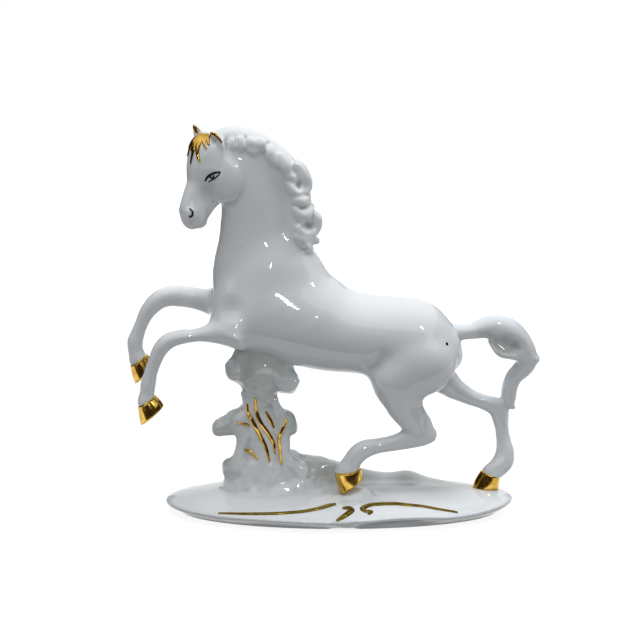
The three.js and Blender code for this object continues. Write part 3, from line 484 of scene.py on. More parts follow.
# %% Base in clay
HALF_LENGTH = 86
HALF_BREADTH = 35
NARROWEST = 1
BASE_RINGS = [
    (-5, 40), (-5, 19), (-7, 14), (-10, 13), (-10, 8), (-8.6, 7), (-7.2, 4.6), (-6, 2), (-5, 0.6), (-4.4, 0),
    (-3.8, 0.2), (-3.2, 1), (-2.4, 2.8), (-1.6, 5.2), (-0.8, 8.4), (0, 12.4), (0.8, 18), (1.4, 24),
    (1.9, 30), (2, 32.5),
]
base = bmesh.new()
previous = None
for level, inset in BASE_RINGS:
    outline = (HALF_LENGTH - inset, max(HALF_BREADTH - inset, NARROWEST), 1, 1)
    oval = Matrix.Translation((0, 0, level)) @ Matrix.Diagonal(outline)
    ends = (level, inset) in (BASE_RINGS[0], BASE_RINGS[-1])
    ring = bmesh.ops.create_circle(base, segments=96, radius=1, cap_ends=ends, matrix=oval)["verts"]
    edges = list({edge for vert in ring for edge in vert.link_edges})
    if previous:
        bmesh.ops.bridge_loops(base, edges=previous + edges)
    previous = edges
RIDGE = [
    (-26, 11, 8, 7, 6), (-18, 9, 7.6, 7.4, 9), (-10, 7, 7, 7.4, 12), (0, 4.4, 6, 6.8, 14),
    (12, 2, 4.6, 6.2, 15.5), (21, 0.6, 4.2, 6, 15.5), (28, 0.4, 4.4, 5.6, 15.5), (35, 1.1, 4.8, 5.6, 15.5),
    (41, -0.4, 4, 5, 15), (50, -2, 3.4, 5, 14), (60, -3.4, 3, 5, 13), (67, -4, 3.4, 5, 12),
    (74, -6, 3, 4.6, 11),
]
HOOF_MOUND = ((8.4, -HALF_HIND, 0), (10, 8, 6.4))
TONGUE = [
    (4, 0, 2.2, 5.6, -19), (4, -1.6, 2.4, 6.6, -27), (2.6, -4.4, 2.2, 6, -31.4), (1.4, -7.6, 1.4, 4, -30.5),
]
loft(base, RIDGE)
egg(base, *HOOF_MOUND)
loft(base, TONGUE, across=ALONG)
print("base clay:", len(base.faces), "faces")

# %% [markdown]
# The stump is a trunk with two wings and a cap. Edges of slip run down beside the panel that carries
# the reeds, and ledges at its foot run out over the base. The lofts have few sides on purpose: the
# facets that stay after the sponge look like broken rock.

# %% Stump in clay
TRUNK = [
    (-36, -1, 22, 13.4), (-36.3, 4, 20, 11.6), (-36.5, 9, 17.5, 9.6), (-37, 14, 15, 8.4),
    (-37, 20, 13.2, 7.2, 0.6), (-37.5, 26, 12.2, 6.8, 1), (-38, 33, 12.6, 6.6, 1), (-38.5, 40, 11, 6.5, 1),
    (-39, 47, 8.6, 6.5, 1), (-39, 52, 9, 7.5), (-38.5, 57, 14, 9.5), (-38, 62, 16, 11), (-36, 67, 16, 11),
    (-34, 73, 12.6, 10),
]
LEFT_WING = [
    (-44, 37, 9, 6.5), (-50, 36, 7.6, 6.5), (-55.5, 34.2, 5.4, 6.6), (-60, 32.6, 4, 6.4),
    (-61.8, 32.2, 3.2, 5.6),
]
RIGHT_WING = [
    (-34, 36, 9, 6), (-28, 36, 7.6, 6), (-24, 33.8, 5.2, 5.6), (-21.6, 32.6, 3, 4.4), (-20.8, 32.6, 1.6, 3),
]
LEFT_EDGE = [
    (-46.6, 52.7, 2.4, 2.8, -3.4), (-44.6, 44.2, 3, 3.4, -4.8), (-49.6, 37.1, 3.4, 3.6, -5),
    (-47.2, 29.5, 3.2, 3.6, -5.2), (-49, 19.8, 3.6, 4, -4.6), (-52, 13, 4, 4.2, -3),
]
RIGHT_EDGE = [
    (-32, 49, 2.4, 2.6, -3.6), (-28, 40, 3, 3.2, -4.2), (-27.4, 31.7, 3.2, 3.4, -4.4),
    (-26.6, 22, 3.6, 3.8, -4.4), (-23.4, 15, 4.2, 4.4, -3), (-17, 9.6, 4.4, 5, -1),
]
CAP_LIP = [
    (-47.3, 57.8, 1.8, 2, -7.5), (-40.5, 61.6, 2, 2.2, -10), (-34, 62.8, 2, 2.2, -10.5),
    (-29.4, 60.2, 2, 2.2, -10), (-26.9, 54.9, 2, 2.2, -8.4), (-22.9, 55.2, 2, 2.2, -7.4),
    (-19.8, 59.4, 1.8, 2, -5.4),
]
LUMPS = [
    ((-49.6, -1, 62.4), (6.6, 9, 6)), ((-25.4, -1, 57), (6.2, 8.4, 7)), ((-38, 0, 64), (15, 11, 6)),
    ((-53.6, -0.5, 12), (4.4, 5.6, 5.4)), ((-30, 7, 6), (17, 6, 6)), ((-50, 6, 6), (8, 6, 5)),
]
stump = bmesh.new()
loft(stump, TRUNK, sides=11)
loft(stump, LEFT_WING, sides=7)
loft(stump, RIGHT_WING, sides=7)
for rows in (LEFT_EDGE, RIGHT_EDGE, CAP_LIP):
    loft(stump, rows, sides=12)
for centre, half in LUMPS:
    egg(stump, centre, half)
print("stump clay:", len(stump.faces), "faces")

# %% Ledges at the stump's foot
# Each ledge is a short cone: middle, half sizes, taper, lowest and highest level, sides and turn.
LEDGES = [
    ((-37, -0.6), (21, 12.2), 0.7, (-2, 7.6), 9, 10), ((-51, 0.4), (9, 9), 0.6, (-2, 9.8), 7, 25),
    ((-21, 0), (16, 10.4), 0.62, (-2, 7.8), 8, 5), ((-11, 3), (12, 9), 0.4, (-2, 5.6), 7, 0),
]
for centre, low, taper, (bottom, top), sides, turn in LEDGES:
    pose = Matrix.Translation((*centre, (bottom + top) / 2)) @ Matrix.Diagonal((*low, 1, 1))
    pose = pose @ Matrix.Rotation(math.radians(turn), 4, "Z")
    bmesh.ops.create_cone(
        stump, cap_ends=True, segments=sides, radius1=1, radius2=taper, depth=top - bottom, matrix=pose
    )
print("ledges:", len(LEDGES))

# %% [markdown]
# Base and stump are melted like the horse. The rock then swells and sinks along its normals by three
# sizes of noise, which fade out towards the smooth plate. A displace modifier could do the same, but
# not fade by place. Last, the thumb presses the coves under the rim.

# %% Ground skin
GROUND_VOXEL = 0.6
SOFT_GROUND = [
    ((8, -11, 2), 14), ((2, -28, -3), 10), ((14, 15, 4), 14), ((40, 15, 2), 16), ((62, 12, -1), 14),
]
SOFT_STUMP = [((-38, 0, 62), 26), ((-38, 0, 40), 27), ((-38, 0, 18), 32), ((-10, 8, 8), 18)]
ROCK = [((-40, 0, 62), 22), ((-40, 0, 40), 26), ((-40, 0, 16), 24), ((-22, 2, 8), 16), ((-8, 10, 6), 12)]
ROCK_SWELLS = [(13, 1.5), (6, 0.8), (3, 0.4)]
ROCK_LOWEST = 2.4
ROCK_FADE = 4
COVES = [
    ((30, -33, -6.4), (34, 12, 4.6), (0, 4.6, 0)), ((-38, -33, -6.8), (40, 12, 4), (0, 1.6, 0)),
    ((84, 0, -3.6), (34, 36, 5), (0, 0, 1.2)),
]
ground_skin = melt([base, stump], GROUND_VOXEL)
sponge(ground_skin, rounds=4)
sponge(ground_skin, rounds=50, spots=SOFT_GROUND)
sponge(ground_skin, rounds=20, spots=SOFT_STUMP)
ground_skin.normal_update()
for vert in ground_skin.verts:
    inside = max(1 - (vert.co - Vector(spot)).length / reach for spot, reach in ROCK)
    if inside > 0 and vert.co.z > ROCK_LOWEST:
        swell = sum(height * noise.noise(vert.co / length) for length, height in ROCK_SWELLS)
        vert.co += vert.normal * swell * min(ROCK_FADE * inside, 1)
thumb(ground_skin, COVES)
sponge(ground_skin, rounds=3)
print("ground skin:", len(ground_skin.faces), "faces")

# %% [markdown]
# Glaze runs off the high places and pools in the hollows, where it is thicker and looks greener. A
# much smoother copy of the skin tells where the hollows are: there the copy lies outside the skin. The
# greener, darker colour given to the hollows is partly that pooled glaze and partly painted shade. The
# result is kept as an attribute of the mesh, which the finish reads later. More painted shade is listed
# for a few places that are not deep but lie in shade: on the stump, in the tail's hollow and along the
# ridge behind.

# %% Where the glaze pools and where shade is painted
# The hollows found here get a greener, darker colour: partly pooled glaze, partly painted shade.
def find_pools_and_shade(skin, rounds, depth):
    smoother = skin.copy()
    sponge(smoother, rounds)
    skin.normal_update()
    pool_and_shade = skin.verts.layers.float.new("pool_and_shade")
    for vert, soft in zip(skin.verts, smoother.verts):
        hollow = (soft.co - vert.co).dot(vert.normal)
        vert[pool_and_shade] = min(max(hollow / depth, 0.0), 1.0)
    smoother.free()


# Painted shade, greener and darker, at places that lie in shade: the stump under the belly, the tail's hollow
# and the ground and ridge behind the stump.
PAINTED_SHADE_PLACES = [
    ((79, -4, 74), 8), ((70, -3, 78), 6), ((-38, -4, 64), 19), ((-56, -2, 34), 13), ((-21, -2, 36), 12),
    ((-55, -2, 14), 9), ((-12, 10, 8), 14), ((12, 15, 5), 13), ((34, 15, 3), 13), ((56, 13, 0), 12),
]
PAINTED_SHADE_SHARE = 0.7
find_pools_and_shade(horse_skin, rounds=60, depth=0.9)
find_pools_and_shade(ground_skin, rounds=60, depth=1.6)
for skin in (horse_skin, ground_skin):
    pool_and_shade = skin.verts.layers.float["pool_and_shade"]
    for vert in skin.verts:
        cover = max(1 - ((vert.co - Vector(spot)).length / reach) ** 2 for spot, reach in PAINTED_SHADE_PLACES)
        vert[pool_and_shade] = max(vert[pool_and_shade], PAINTED_SHADE_SHARE * cover)
print("painted shade at", len(PAINTED_SHADE_PLACES), "places")

# %% Surfaces to brush on
NEAR_SIDE = -80
VENT_PLACE = (51, 78.4)
horse_tree = BVHTree.FromBMesh(horse_skin)
ground_tree = BVHTree.FromBMesh(ground_skin)
VENT = horse_tree.ray_cast(Vector((VENT_PLACE[0], NEAR_SIDE, VENT_PLACE[1])), ACROSS)[0]
print("vent pinhole at", [round(place, 1) for place in VENT], "mm")

# %% [markdown]
# ## Casting by casting
# Each face of the melted skin belongs to the casting that lies nearest to it in the solids. Rounds of
# voting among neighbours straighten the borders, and a stray patch goes to the casting around it.

# %% Name each face's casting
VOTING_ROUNDS = 8


def solids_tree(nodes):
    corners = []
    shells = []
    owners = []
    for node in nodes:
        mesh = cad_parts[node].data
        start = len(corners)
        corners.extend(vert.co for vert in mesh.vertices)
        shells.extend([start + index for index in polygon.vertices] for polygon in mesh.polygons)
        owners.extend([nodes.index(node)] * len(mesh.polygons))
    return BVHTree.FromPolygons(corners, shells), owners


def beside(face):
    return [near for edge in face.edges for near in edge.link_faces if near != face]


def join_strays(skin, owner):
    patches = []
    seen = set()
    for start in skin.faces:
        if start in seen:
            continue
        seen.add(start)
        patch = [start]
        for face in patch:
            for other in set(beside(face)):
                if other not in seen and other[owner] == face[owner]:
                    seen.add(other)
                    patch.append(other)
        patches.append(patch)
    patches.sort(key=len)
    for patch in patches:
        mine = patch[0][owner]
        if patch is max((other for other in patches if other[0][owner] == mine), key=len):
            continue
        around = [near[owner] for face in patch for near in beside(face) if near[owner] != mine]
        heir = max(sorted(set(around)), key=around.count)
        for face in patch:
            face[owner] = heir


def name_owners(skin, nodes):
    tree, owners = solids_tree(nodes)
    owner = skin.faces.layers.int.new("casting")
    for face in skin.faces:
        face.smooth = True
        face[owner] = owners[tree.find_nearest(face.calc_center_median())[2]]
    for _ in range(VOTING_ROUNDS):
        votes = {}
        for face in skin.faces:
            around = [other[owner] for other in beside(face)]
            votes[face] = max(sorted(set(around)), key=around.count)
            if around.count(votes[face]) * 2 <= len(around):
                votes[face] = face[owner]
        for face, vote in votes.items():
            face[owner] = vote
    join_strays(skin, owner)


# %% [markdown]
# The skin is taken apart along those borders. Every casting is closed where it was cut, by a rim turned
# in and a cap, but it keeps the normals of the whole skin, because the glaze hides the joint.

# %% Take the skin apart into castings
HORSE_CASTINGS = [
    "torso", "neck", "mane", "head", "left_ear", "right_ear", "tail",
    "left_fore_leg", "right_fore_leg", "left_hind_leg", "right_hind_leg",
]
GROUND_CASTINGS = ["base", "stump"]
SEAM_DEPTH = 0.002


def place_piece(name, clay, nodes):
    mesh = bpy.data.meshes.new(name)
    clay.to_mesh(mesh)
    clay.free()
    piece = bpy.data.objects.new(name, mesh)
    bpy.context.scene.collection.objects.link(piece)
    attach(piece, "root")
    if nodes:
        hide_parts(*nodes)
    print(name, len(mesh.polygons), "faces")
    return piece


def close_cuts(part, kept):
    rims = [edge for edge in part.edges if edge.is_boundary]
    turned_in = bmesh.ops.extrude_edge_only(part, edges=rims)["geom"]
    for vert in [item for item in turned_in if isinstance(item, bmesh.types.BMVert)]:
        vert.co -= vert[kept] * SEAM_DEPTH
    rims = [edge for edge in part.edges if edge.is_boundary]
    caps = bmesh.ops.holes_fill(part, edges=rims, sides=0)["faces"]
    bmesh.ops.poke(part, faces=caps, center_mode="MEAN")


def take_apart(skin, nodes):
    bmesh.ops.transform(skin, matrix=TO_FRAME, verts=skin.verts)
    skin.normal_update()
    whole_normal = skin.verts.layers.float_vector.new("whole_normal")
    for vert in skin.verts:
        vert[whole_normal] = vert.normal
    name_owners(skin, nodes)
    made = []
    for number, node in enumerate(nodes):
        part = skin.copy()
        owner = part.faces.layers.int["casting"]
        others = [face for face in part.faces if face[owner] != number]
        bmesh.ops.delete(part, geom=others, context="FACES")
        kept = part.verts.layers.float_vector["whole_normal"]
        close_cuts(part, kept)
        normals = [tuple(vert[kept]) if vert[kept].length > 0.5 else tuple(ACROSS) for vert in part.verts]
        piece = place_piece("glazed_" + node, part, [node])
        piece.data.normals_split_custom_set_from_vertices(normals)
        made.append(piece)
    skin.free()
    return made


glazed = take_apart(horse_skin, HORSE_CASTINGS)
glazed += take_apart(ground_skin, GROUND_CASTINGS)

# %% [markdown]
# ## Gold and black
# The hooves are gilt all over. Each is a loft of three tilted rings that flares towards the ground, and
# a bevel rounds its two rims, as the thick glaze under the gold does.

# %% Gilt hooves
HOOVES = {
    "left_fore_hoof": (
        -HALF_FORE, [(-92.8, 50, 5, 4.9, 0, 33), (-91.2, 46, 6.6, 5.8, 0, 37), (-90.1, 42.6, 7.4, 6.2, 0, 40)]
    ),
    "right_fore_hoof": (
        HALF_FORE, [(-99, 64, 5.2, 4.9, 0, 36), (-97.2, 60, 6.4, 5.7, 0, 39), (-95.8, 56.6, 7, 6.1, 0, 42)]
    ),
    "left_hind_hoof": (
        -HALF_HIND, [(4.1, 14.7, 6.5, 5.5, 0, 9), (4.9, 10.4, 6.7, 6, 0, 22), (5.8, 6.6, 7, 6.2, 0, 36)]
    ),
    "right_hind_hoof": (
        HALF_HIND, [(75.6, 7.4, 4.9, 4.8, -5, -20), (73.8, 2, 6.2, 5.7, -5, -18), (72, -4, 6.6, 6, -5, -16)]
    ),
}


def finish_piece(name, clay, nodes):
    bmesh.ops.transform(clay, matrix=TO_FRAME, verts=clay.verts)
    bmesh.ops.recalc_face_normals(clay, faces=clay.faces)
    for face in clay.faces:
        face.smooth = True
    return place_piece(name, clay, nodes)


gilt = []
for node, (out, rows) in HOOVES.items():
    hoof = bmesh.new()
    loft(hoof, rows, out, steps=6, sides=40)
    rims = [edge for edge in hoof.edges if any(len(face.verts) > 4 for face in edge.link_faces)]
    bmesh.ops.bevel(
        hoof, geom=rims, offset=0.5, offset_type="OFFSET",
        affect="EDGES", segments=3, profile=0.5, material=-1,
    )
    gilt.append(finish_piece("gilt_" + node, hoof, [node]))

# %% [markdown]
# Reeds, scrolls, forelock, lids and nostrils are single brush strokes. Each is a flat loft whose points
# are found by rays, so it lies on the skin wherever that swells, and is turned to face along the
# skin's normal. A row is two places in the view that the stroke is drawn in, and a half width.

# %% Brush
def brush(clay, tree, line, start, toward, lift):
    spots = []
    normals = []
    sizes = []
    for row in smooth_rows(line, 6):
        spot, normal, _, _ = tree.ray_cast(start(row[0], row[1]), toward)
        if spot:
            spots.append(spot)
            normals.append(normal)
            sizes.append((row[2], lift))
    skin_rings(clay, spots, sizes, normals, sides=10)


ABOVE_BASE = 30
AHEAD = -120
BESIDE_HEAD = 30


def from_near_side(x, z):
    return Vector((x, NEAR_SIDE, z))


def from_above(x, y):
    return Vector((x, y, ABOVE_BASE))


def from_ahead(y, z):
    return HEAD_TURN @ Vector((AHEAD, y, z))


def from_beside_head(side):
    return lambda x, z: HEAD_TURN @ Vector((x, side * BESIDE_HEAD, z))


# %% Reeds on the stump
REED_LIFT = 0.6
REEDS = {
    "reed_left_long": [
        (-44.6, 47.4, 0.5), (-44.1, 42, 0.9), (-41.1, 35.6, 1.1), (-38.1, 29.2, 1.1), (-35.6, 23.8, 0.9),
        (-34.1, 17.4, 0.5),
    ],
    "reed_left_branch": [(-49.3, 37.8, 0.4), (-45.9, 36.7, 0.7), (-43.6, 35.4, 0.5)],
    "reed_middle_long": [
        (-40.7, 50, 0.5), (-40.3, 42.6, 0.9), (-38.1, 36.7, 1.1), (-34.5, 31.4, 1.1), (-32, 26, 0.9),
        (-31.5, 21.2, 0.5),
    ],
    "reed_middle_short": [(-35.9, 42.6, 0.5), (-33.5, 38.3, 0.9), (-31.8, 34.4, 0.6)],
    "reed_right_long": [
        (-25.4, 39.4, 0.5), (-27.3, 34.6, 0.9), (-29.2, 29.7, 1), (-29.2, 26, 1), (-28.2, 15.8, 0.5),
    ],
    "reed_low": [(-46.4, 23.3, 0.5), (-43.3, 21.7, 0.8), (-39.9, 18.5, 0.5)],
}
for node, line in REEDS.items():
    reed = bmesh.new()
    brush(reed, ground_tree, line, from_near_side, ACROSS, REED_LIFT)
    gilt.append(finish_piece("gilt_" + node, reed, [node]))

# %% Scrolls on the base
SCROLL_LIFT = 0.8
SCROLLS = {
    "scroll_left": [
        (-58.1, -24.1, 0.4), (-45.3, -26.5, 0.8), (-31.9, -27.6, 1), (-21.3, -27.1, 1.1),
        (-15.3, -26.1, 1.2), (-9.3, -23.8, 1.4), (-4.5, -21.1, 1.6), (-1.7, -20.8, 0.8),
    ],
    "scroll_middle": [
        (1.4, -26.6, 0.8), (4.2, -26.6, 1.5), (5.6, -27.8, 1.6), (3.9, -30.1, 1.5), (1, -32, 1.2),
        (-1.6, -33.4, 0.6),
    ],
    "scroll_right": [
        (13.7, -29.2, 0.6), (15, -26.9, 1.2), (12.6, -26.6, 1.3), (11, -25.1, 1.5), (12.8, -22.2, 1.5),
        (17.1, -20.1, 1.6), (25.9, -19.1, 1.6), (33.1, -20.1, 1.3), (40.5, -21.1, 1), (48.3, -22.9, 0.8),
        (56.7, -23.9, 0.4),
    ],
}
worn = []
for node, line in SCROLLS.items():
    scroll = bmesh.new()
    brush(scroll, ground_tree, line, from_above, DOWN, SCROLL_LIFT)
    worn.append(finish_piece("gilt_" + node, scroll, [node]))

# %% Forelock and ear rims
TUFT_LIFT = 0.6
RIM_LIFT = 0.3
FORELOCK = [
    [(-2.7, 177.5, 1.2), (-1.9, 174.5, 1.3), (-2.4, 170.1, 0.9), (-1.9, 163.8, 0.35)],
    [(-3.1, 177.5, 1.2), (-3.6, 174.1, 1.4), (-4.5, 169.8, 1), (-5.9, 165.3, 0.5)],
    [(-3.4, 177.5, 1), (-4.7, 175.2, 1.1), (-6.8, 171.3, 0.45)],
    [(-3.6, 177.7, 0.9), (-5.1, 176, 1), (-6.9, 172.8, 0.45)],
    [(-2.6, 177.3, 0.8), (-1.4, 174.1, 0.8), (-1, 169.7, 0.35)],
    [(-2, 177.6, 1), (0.4, 173.5, 1), (1.6, 167, 0.4)],
    [(-1.4, 177.8, 0.9), (2, 174.5, 0.9), (3.6, 170.5, 0.4)],
]
EAR_RIMS = {
    "left_ear_rim": [(-60.4, 176.4, 0.4), (-59.4, 178.4, 0.7), (-57.1, 177, 0.8), (-54.8, 173.7, 0.5)],
    "right_ear_rim": [(-69, 180.4, 0.4), (-68.6, 179.4, 1), (-68, 178, 1.1), (-67.2, 176.4, 0.5)],
}
turn_only = HEAD_TURN.to_3x3()
forelock = bmesh.new()
for line in FORELOCK:
    brush(forelock, horse_tree, line, from_ahead, turn_only @ ALONG, TUFT_LIFT)
gilt.append(finish_piece("gilt_forelock", forelock, ["forelock"]))
for name, line in EAR_RIMS.items():
    rim = bmesh.new()
    brush(rim, horse_tree, line, from_near_side, ACROSS, RIM_LIFT)
    gilt.append(finish_piece("gilt_" + name, rim, []))

# %% Eyes and nostrils
PAINT_LIFT = 0.14
UPPER_LID = [(-68, 156.1, 0.45), (-66.9, 158.5, 0.7), (-64.2, 159.9, 0.7), (-61.1, 160.4, 0.35)]
LOWER_LID = [(-66.4, 155.8, 0.35), (-64.5, 156.9, 0.42), (-62.7, 158.3, 0.42), (-61.1, 160.1, 0.3)]
IRIS = [
    (-65.6, 159.2, 0.45), (-66, 158.3, 0.5), (-65.2, 157.6, 0.5), (-64.3, 158, 0.5), (-64.4, 158.9, 0.45),
]
NOSTRIL = [(-75.6, 143.9, 0.4), (-74.5, 142.2, 0.6), (-74.8, 140.4, 0.65), (-75.9, 139.9, 0.8)]
painted = []
for label, side in (("left", -1), ("right", 1)):
    toward = turn_only @ Vector((0, -side, 0))
    eye = bmesh.new()
    for line in (UPPER_LID, LOWER_LID, IRIS):
        brush(eye, horse_tree, line, from_beside_head(side), toward, PAINT_LIFT)
    painted.append(finish_piece("painted_" + label + "_eye", eye, [label + "_eye"]))
    nostril = bmesh.new()
    brush(nostril, horse_tree, NOSTRIL, from_beside_head(side), toward, PAINT_LIFT)
    painted.append(finish_piece("painted_" + label + "_nostril", nostril, [label + "_nostril"]))

# %% [markdown]
# ## Finishes
# One function turns the hex colours into Blender's linear ones, and one adds a node with its settings
# and links. Patterns are scaled from real sizes in millimetres, and all of them read Object coordinates,
# because every piece sits at the origin and the pattern then runs on across the joints.

# %% Material helpers
COLOUR_A = 6
COLOUR_B = 7
COLOUR_OUT = 2


def linear(code):
    channels = [int(code[i:i + 2], 16) / 255 for i in (1, 3, 5)]
    return tuple(c / 12.92 if c <= 0.04045 else ((c + 0.055) / 1.055) ** 2.4 for c in channels) + (1.0,)


def add_node(tree, kind, links=None, inputs=None, **settings):
    node = tree.nodes.new("ShaderNode" + kind)
    for key, value in settings.items():
        setattr(node, key, value)
    for key, value in (inputs or {}).items():
        node.inputs[key].default_value = value
    for key, source in (links or {}).items():
        tree.links.new(source, node.inputs[key])
    return node


def per_mm(size):
    return 1000.0 / size


def new_material(name):
    material = bpy.data.materials.new(name)
    material.use_nodes = True
    shader = material.node_tree.nodes["Principled BSDF"]
    where = add_node(material.node_tree, "TexCoord").outputs["Object"]
    return material, material.node_tree, shader, where


# %% [markdown]
# The body is hard-paste porcelain under a clear feldspar glaze. A clear coat over a white base could
# show it too, but one glossy layer is what the export keeps best. The colour is built in layers: the
# cool white, the greener, darker hollows and shaded places (partly pooled glaze, partly painted shade),
# a few kiln specks, the dry foot ring and the painted shade of the vent pinhole.

# %% Porcelain colours
# A cool white body with faint clouds, and a greener, darker cast that is partly pooled glaze, partly painted
# shade.
porcelain, tree, shader, where = new_material("glazed_porcelain")
pool_and_shade = add_node(tree, "Attribute", attribute_name="pool_and_shade").outputs["Fac"]
cloud = add_node(tree, "TexNoise", {"Vector": where}, {"Scale": per_mm(30), "Detail": 2.0}).outputs["Fac"]
body = add_node(
    tree, "Mix", {"Factor": cloud},
    {COLOUR_A: linear("#E8EEF4"), COLOUR_B: linear("#F0F4F7")}, data_type="RGBA",
).outputs[COLOUR_OUT]
# Greener and darker in the hollows and shaded places: partly pooled glaze, partly painted shade.
pooled_and_shaded = add_node(
    tree, "Mix", {"Factor": pool_and_shade, COLOUR_A: body}, {COLOUR_B: linear("#BCC6BE")}, data_type="RGBA"
).outputs[COLOUR_OUT]
print("porcelain body with pools and painted shade")

# %% Kiln specks
# One cell in five holds a brown speck, about half a millimetre across.
SPECK_SPACING = 11
SPECK_CORE = 0.016
SPECK_EDGE = 0.034
BARE_SHARE = 0.8
cells = add_node(tree, "TexVoronoi", {"Vector": where}, {"Scale": per_mm(SPECK_SPACING)})
tiny = add_node(
    tree, "MapRange", {"Value": cells.outputs["Distance"]},
    {"From Min": SPECK_CORE, "From Max": SPECK_EDGE, "To Min": 1.0, "To Max": 0.0},
).outputs["Result"]
chosen = add_node(tree, "SeparateColor", {"Color": cells.outputs["Color"]}).outputs["Red"]
rare = add_node(tree, "Math", {0: chosen}, {1: BARE_SHARE}, operation="GREATER_THAN").outputs["Value"]
speck = add_node(tree, "Math", {0: tiny, 1: rare}, operation="MULTIPLY").outputs["Value"]
specked = add_node(
    tree, "Mix", {"Factor": speck, COLOUR_A: pooled_and_shaded}, {COLOUR_B: linear("#6E6459")}, data_type="RGBA"
).outputs[COLOUR_OUT]
print("specks every", SPECK_SPACING, "mm")

# %% Dry foot and the painted shade of the vent pinhole
# The glaze is wiped off the foot ring, so it is warmer and dull there. The sizes are in metres.
FOOT_DRY = 0.0005
FOOT_WET = 0.0009
VENT_SHADE_CORE = 0.0007
VENT_SHADE_EDGE = 0.001
height = add_node(tree, "SeparateXYZ", {"Vector": where}).outputs["Z"]
dry_foot = add_node(
    tree, "MapRange", {"Value": height},
    {"From Min": FOOT_DRY, "From Max": FOOT_WET, "To Min": 1.0, "To Max": 0.0},
).outputs["Result"]
footed = add_node(
    tree, "Mix", {"Factor": dry_foot, COLOUR_A: specked}, {COLOUR_B: linear("#E7E1D6")}, data_type="RGBA"
).outputs[COLOUR_OUT]
# The vent pinhole is not cut into the skin: its dark mouth is painted shade, a dark spot on the glaze.
from_vent = add_node(
    tree, "VectorMath", {0: where}, {1: tuple(TO_FRAME @ VENT)}, operation="DISTANCE"
).outputs["Value"]
vent = add_node(
    tree, "MapRange", {"Value": from_vent},
    {"From Min": VENT_SHADE_CORE, "From Max": VENT_SHADE_EDGE, "To Min": 1.0, "To Max": 0.0},
).outputs["Result"]
vent_shaded = add_node(
    tree, "Mix", {"Factor": vent, COLOUR_A: footed}, {COLOUR_B: linear("#16130F")}, data_type="RGBA"
).outputs[COLOUR_OUT]
print("foot ring and vent pinhole")

# %% Glaze
# A hard, sharp gloss that wavers a little where the glaze ran.
GLAZE_ROUGHNESS = 0.045
BISQUE_ROUGHNESS = 0.6
gloss = add_node(
    tree, "MapRange", {"Value": dry_foot}, {"To Min": GLAZE_ROUGHNESS, "To Max": BISQUE_ROUGHNESS}
).outputs["Result"]
ripple = add_node(tree, "TexNoise", {"Vector": where}, {"Scale": per_mm(8), "Detail": 1.0}).outputs["Fac"]
waver = add_node(tree, "Bump", {"Height": ripple}, {"Strength": 0.25, "Distance": 0.0003}).outputs["Normal"]
tree.links.new(vent_shaded, shader.inputs["Base Color"])
tree.links.new(gloss, shader.inputs["Roughness"])
tree.links.new(waver, shader.inputs["Normal"])
shader.inputs["IOR"].default_value = 1.52
for piece in glazed:
    piece.data.materials.append(porcelain)
print(porcelain.name, "on", len(glazed), "pieces")

# %% [markdown]
# Bright gold is brushed over the fired glaze and fired again, so it is a metal film with the glaze's own
# smoothness under it. A full metallic shader with noise in its colour and roughness is enough. On the
# base, where hands have rubbed it, the gold of the scrolls is worn.

# %% Overglaze gold
# Mirror-like where the coat is full, thinner and browner where the brush left it, with the streaks of
# the hairs. The worn gold is a dull olive.
GOLDS = [
    ("bright_overglaze_gold", gilt, "#E8C060", "#B08630"),
    ("worn_overglaze_gold", worn, "#8C7830", "#5E4C18"),
]
for name, pieces, full_coat, thin_coat in GOLDS:
    gold, tree, shader, where = new_material(name)
    coat = add_node(tree, "TexNoise", {"Vector": where}, {"Scale": per_mm(4), "Detail": 4.0}).outputs["Fac"]
    streak_axes = add_node(
        tree, "Mapping", {"Vector": where}, {"Scale": (1.0, 1.0, 0.25)}
    ).outputs["Vector"]
    streak = add_node(
        tree, "TexNoise", {"Vector": streak_axes}, {"Scale": per_mm(0.7), "Detail": 2.0}
    ).outputs["Fac"]
    thin = add_node(
        tree, "MapRange", {"Value": coat}, {"From Min": 0.35, "From Max": 0.7}
    ).outputs["Result"]
    tone = add_node(
        tree, "Mix", {"Factor": thin},
        {COLOUR_A: linear(full_coat), COLOUR_B: linear(thin_coat)}, data_type="RGBA",
    ).outputs[COLOUR_OUT]
    polish = add_node(
        tree, "MapRange", {"Value": streak}, {"To Min": 0.08, "To Max": 0.2}
    ).outputs["Result"]
    hairs = add_node(
        tree, "Bump", {"Height": streak}, {"Strength": 0.2, "Distance": 0.0001}
    ).outputs["Normal"]
    tree.links.new(tone, shader.inputs["Base Color"])
    tree.links.new(polish, shader.inputs["Roughness"])
    tree.links.new(hairs, shader.inputs["Normal"])
    shader.inputs["Metallic"].default_value = 1.0
    for piece in pieces:
        piece.data.materials.append(gold)
    print(name, "on", len(pieces), "pieces")

# %% [markdown]
# The lids, irises and nostrils are black enamel, ground pigment in a little flux, drawn with a fine
# brush. It lies so thin that its tone follows the load of the brush.

# %% Fired black
# Nearly glossy, and browner where it is thin.
enamel, tree, shader, where = new_material("black_overglaze_enamel")
coat = add_node(tree, "TexNoise", {"Vector": where}, {"Scale": per_mm(1.5), "Detail": 3.0}).outputs["Fac"]
tone = add_node(
    tree, "Mix", {"Factor": coat},
    {COLOUR_A: linear("#121214"), COLOUR_B: linear("#2A2625")}, data_type="RGBA",
).outputs[COLOUR_OUT]
sheen = add_node(tree, "MapRange", {"Value": coat}, {"To Min": 0.18, "To Max": 0.34}).outputs["Result"]
tree.links.new(tone, shader.inputs["Base Color"])
tree.links.new(sheen, shader.inputs["Roughness"])
for piece in painted:
    piece.data.materials.append(enamel)
print(enamel.name, "on", len(painted), "pieces")

# %% [markdown]
# ## The studio
# The figurine stands on pale paper. The camera sees a white background, and so do the gold and the
# glaze, but the paper and the world light the object only a little. Light Path tells these rays apart.

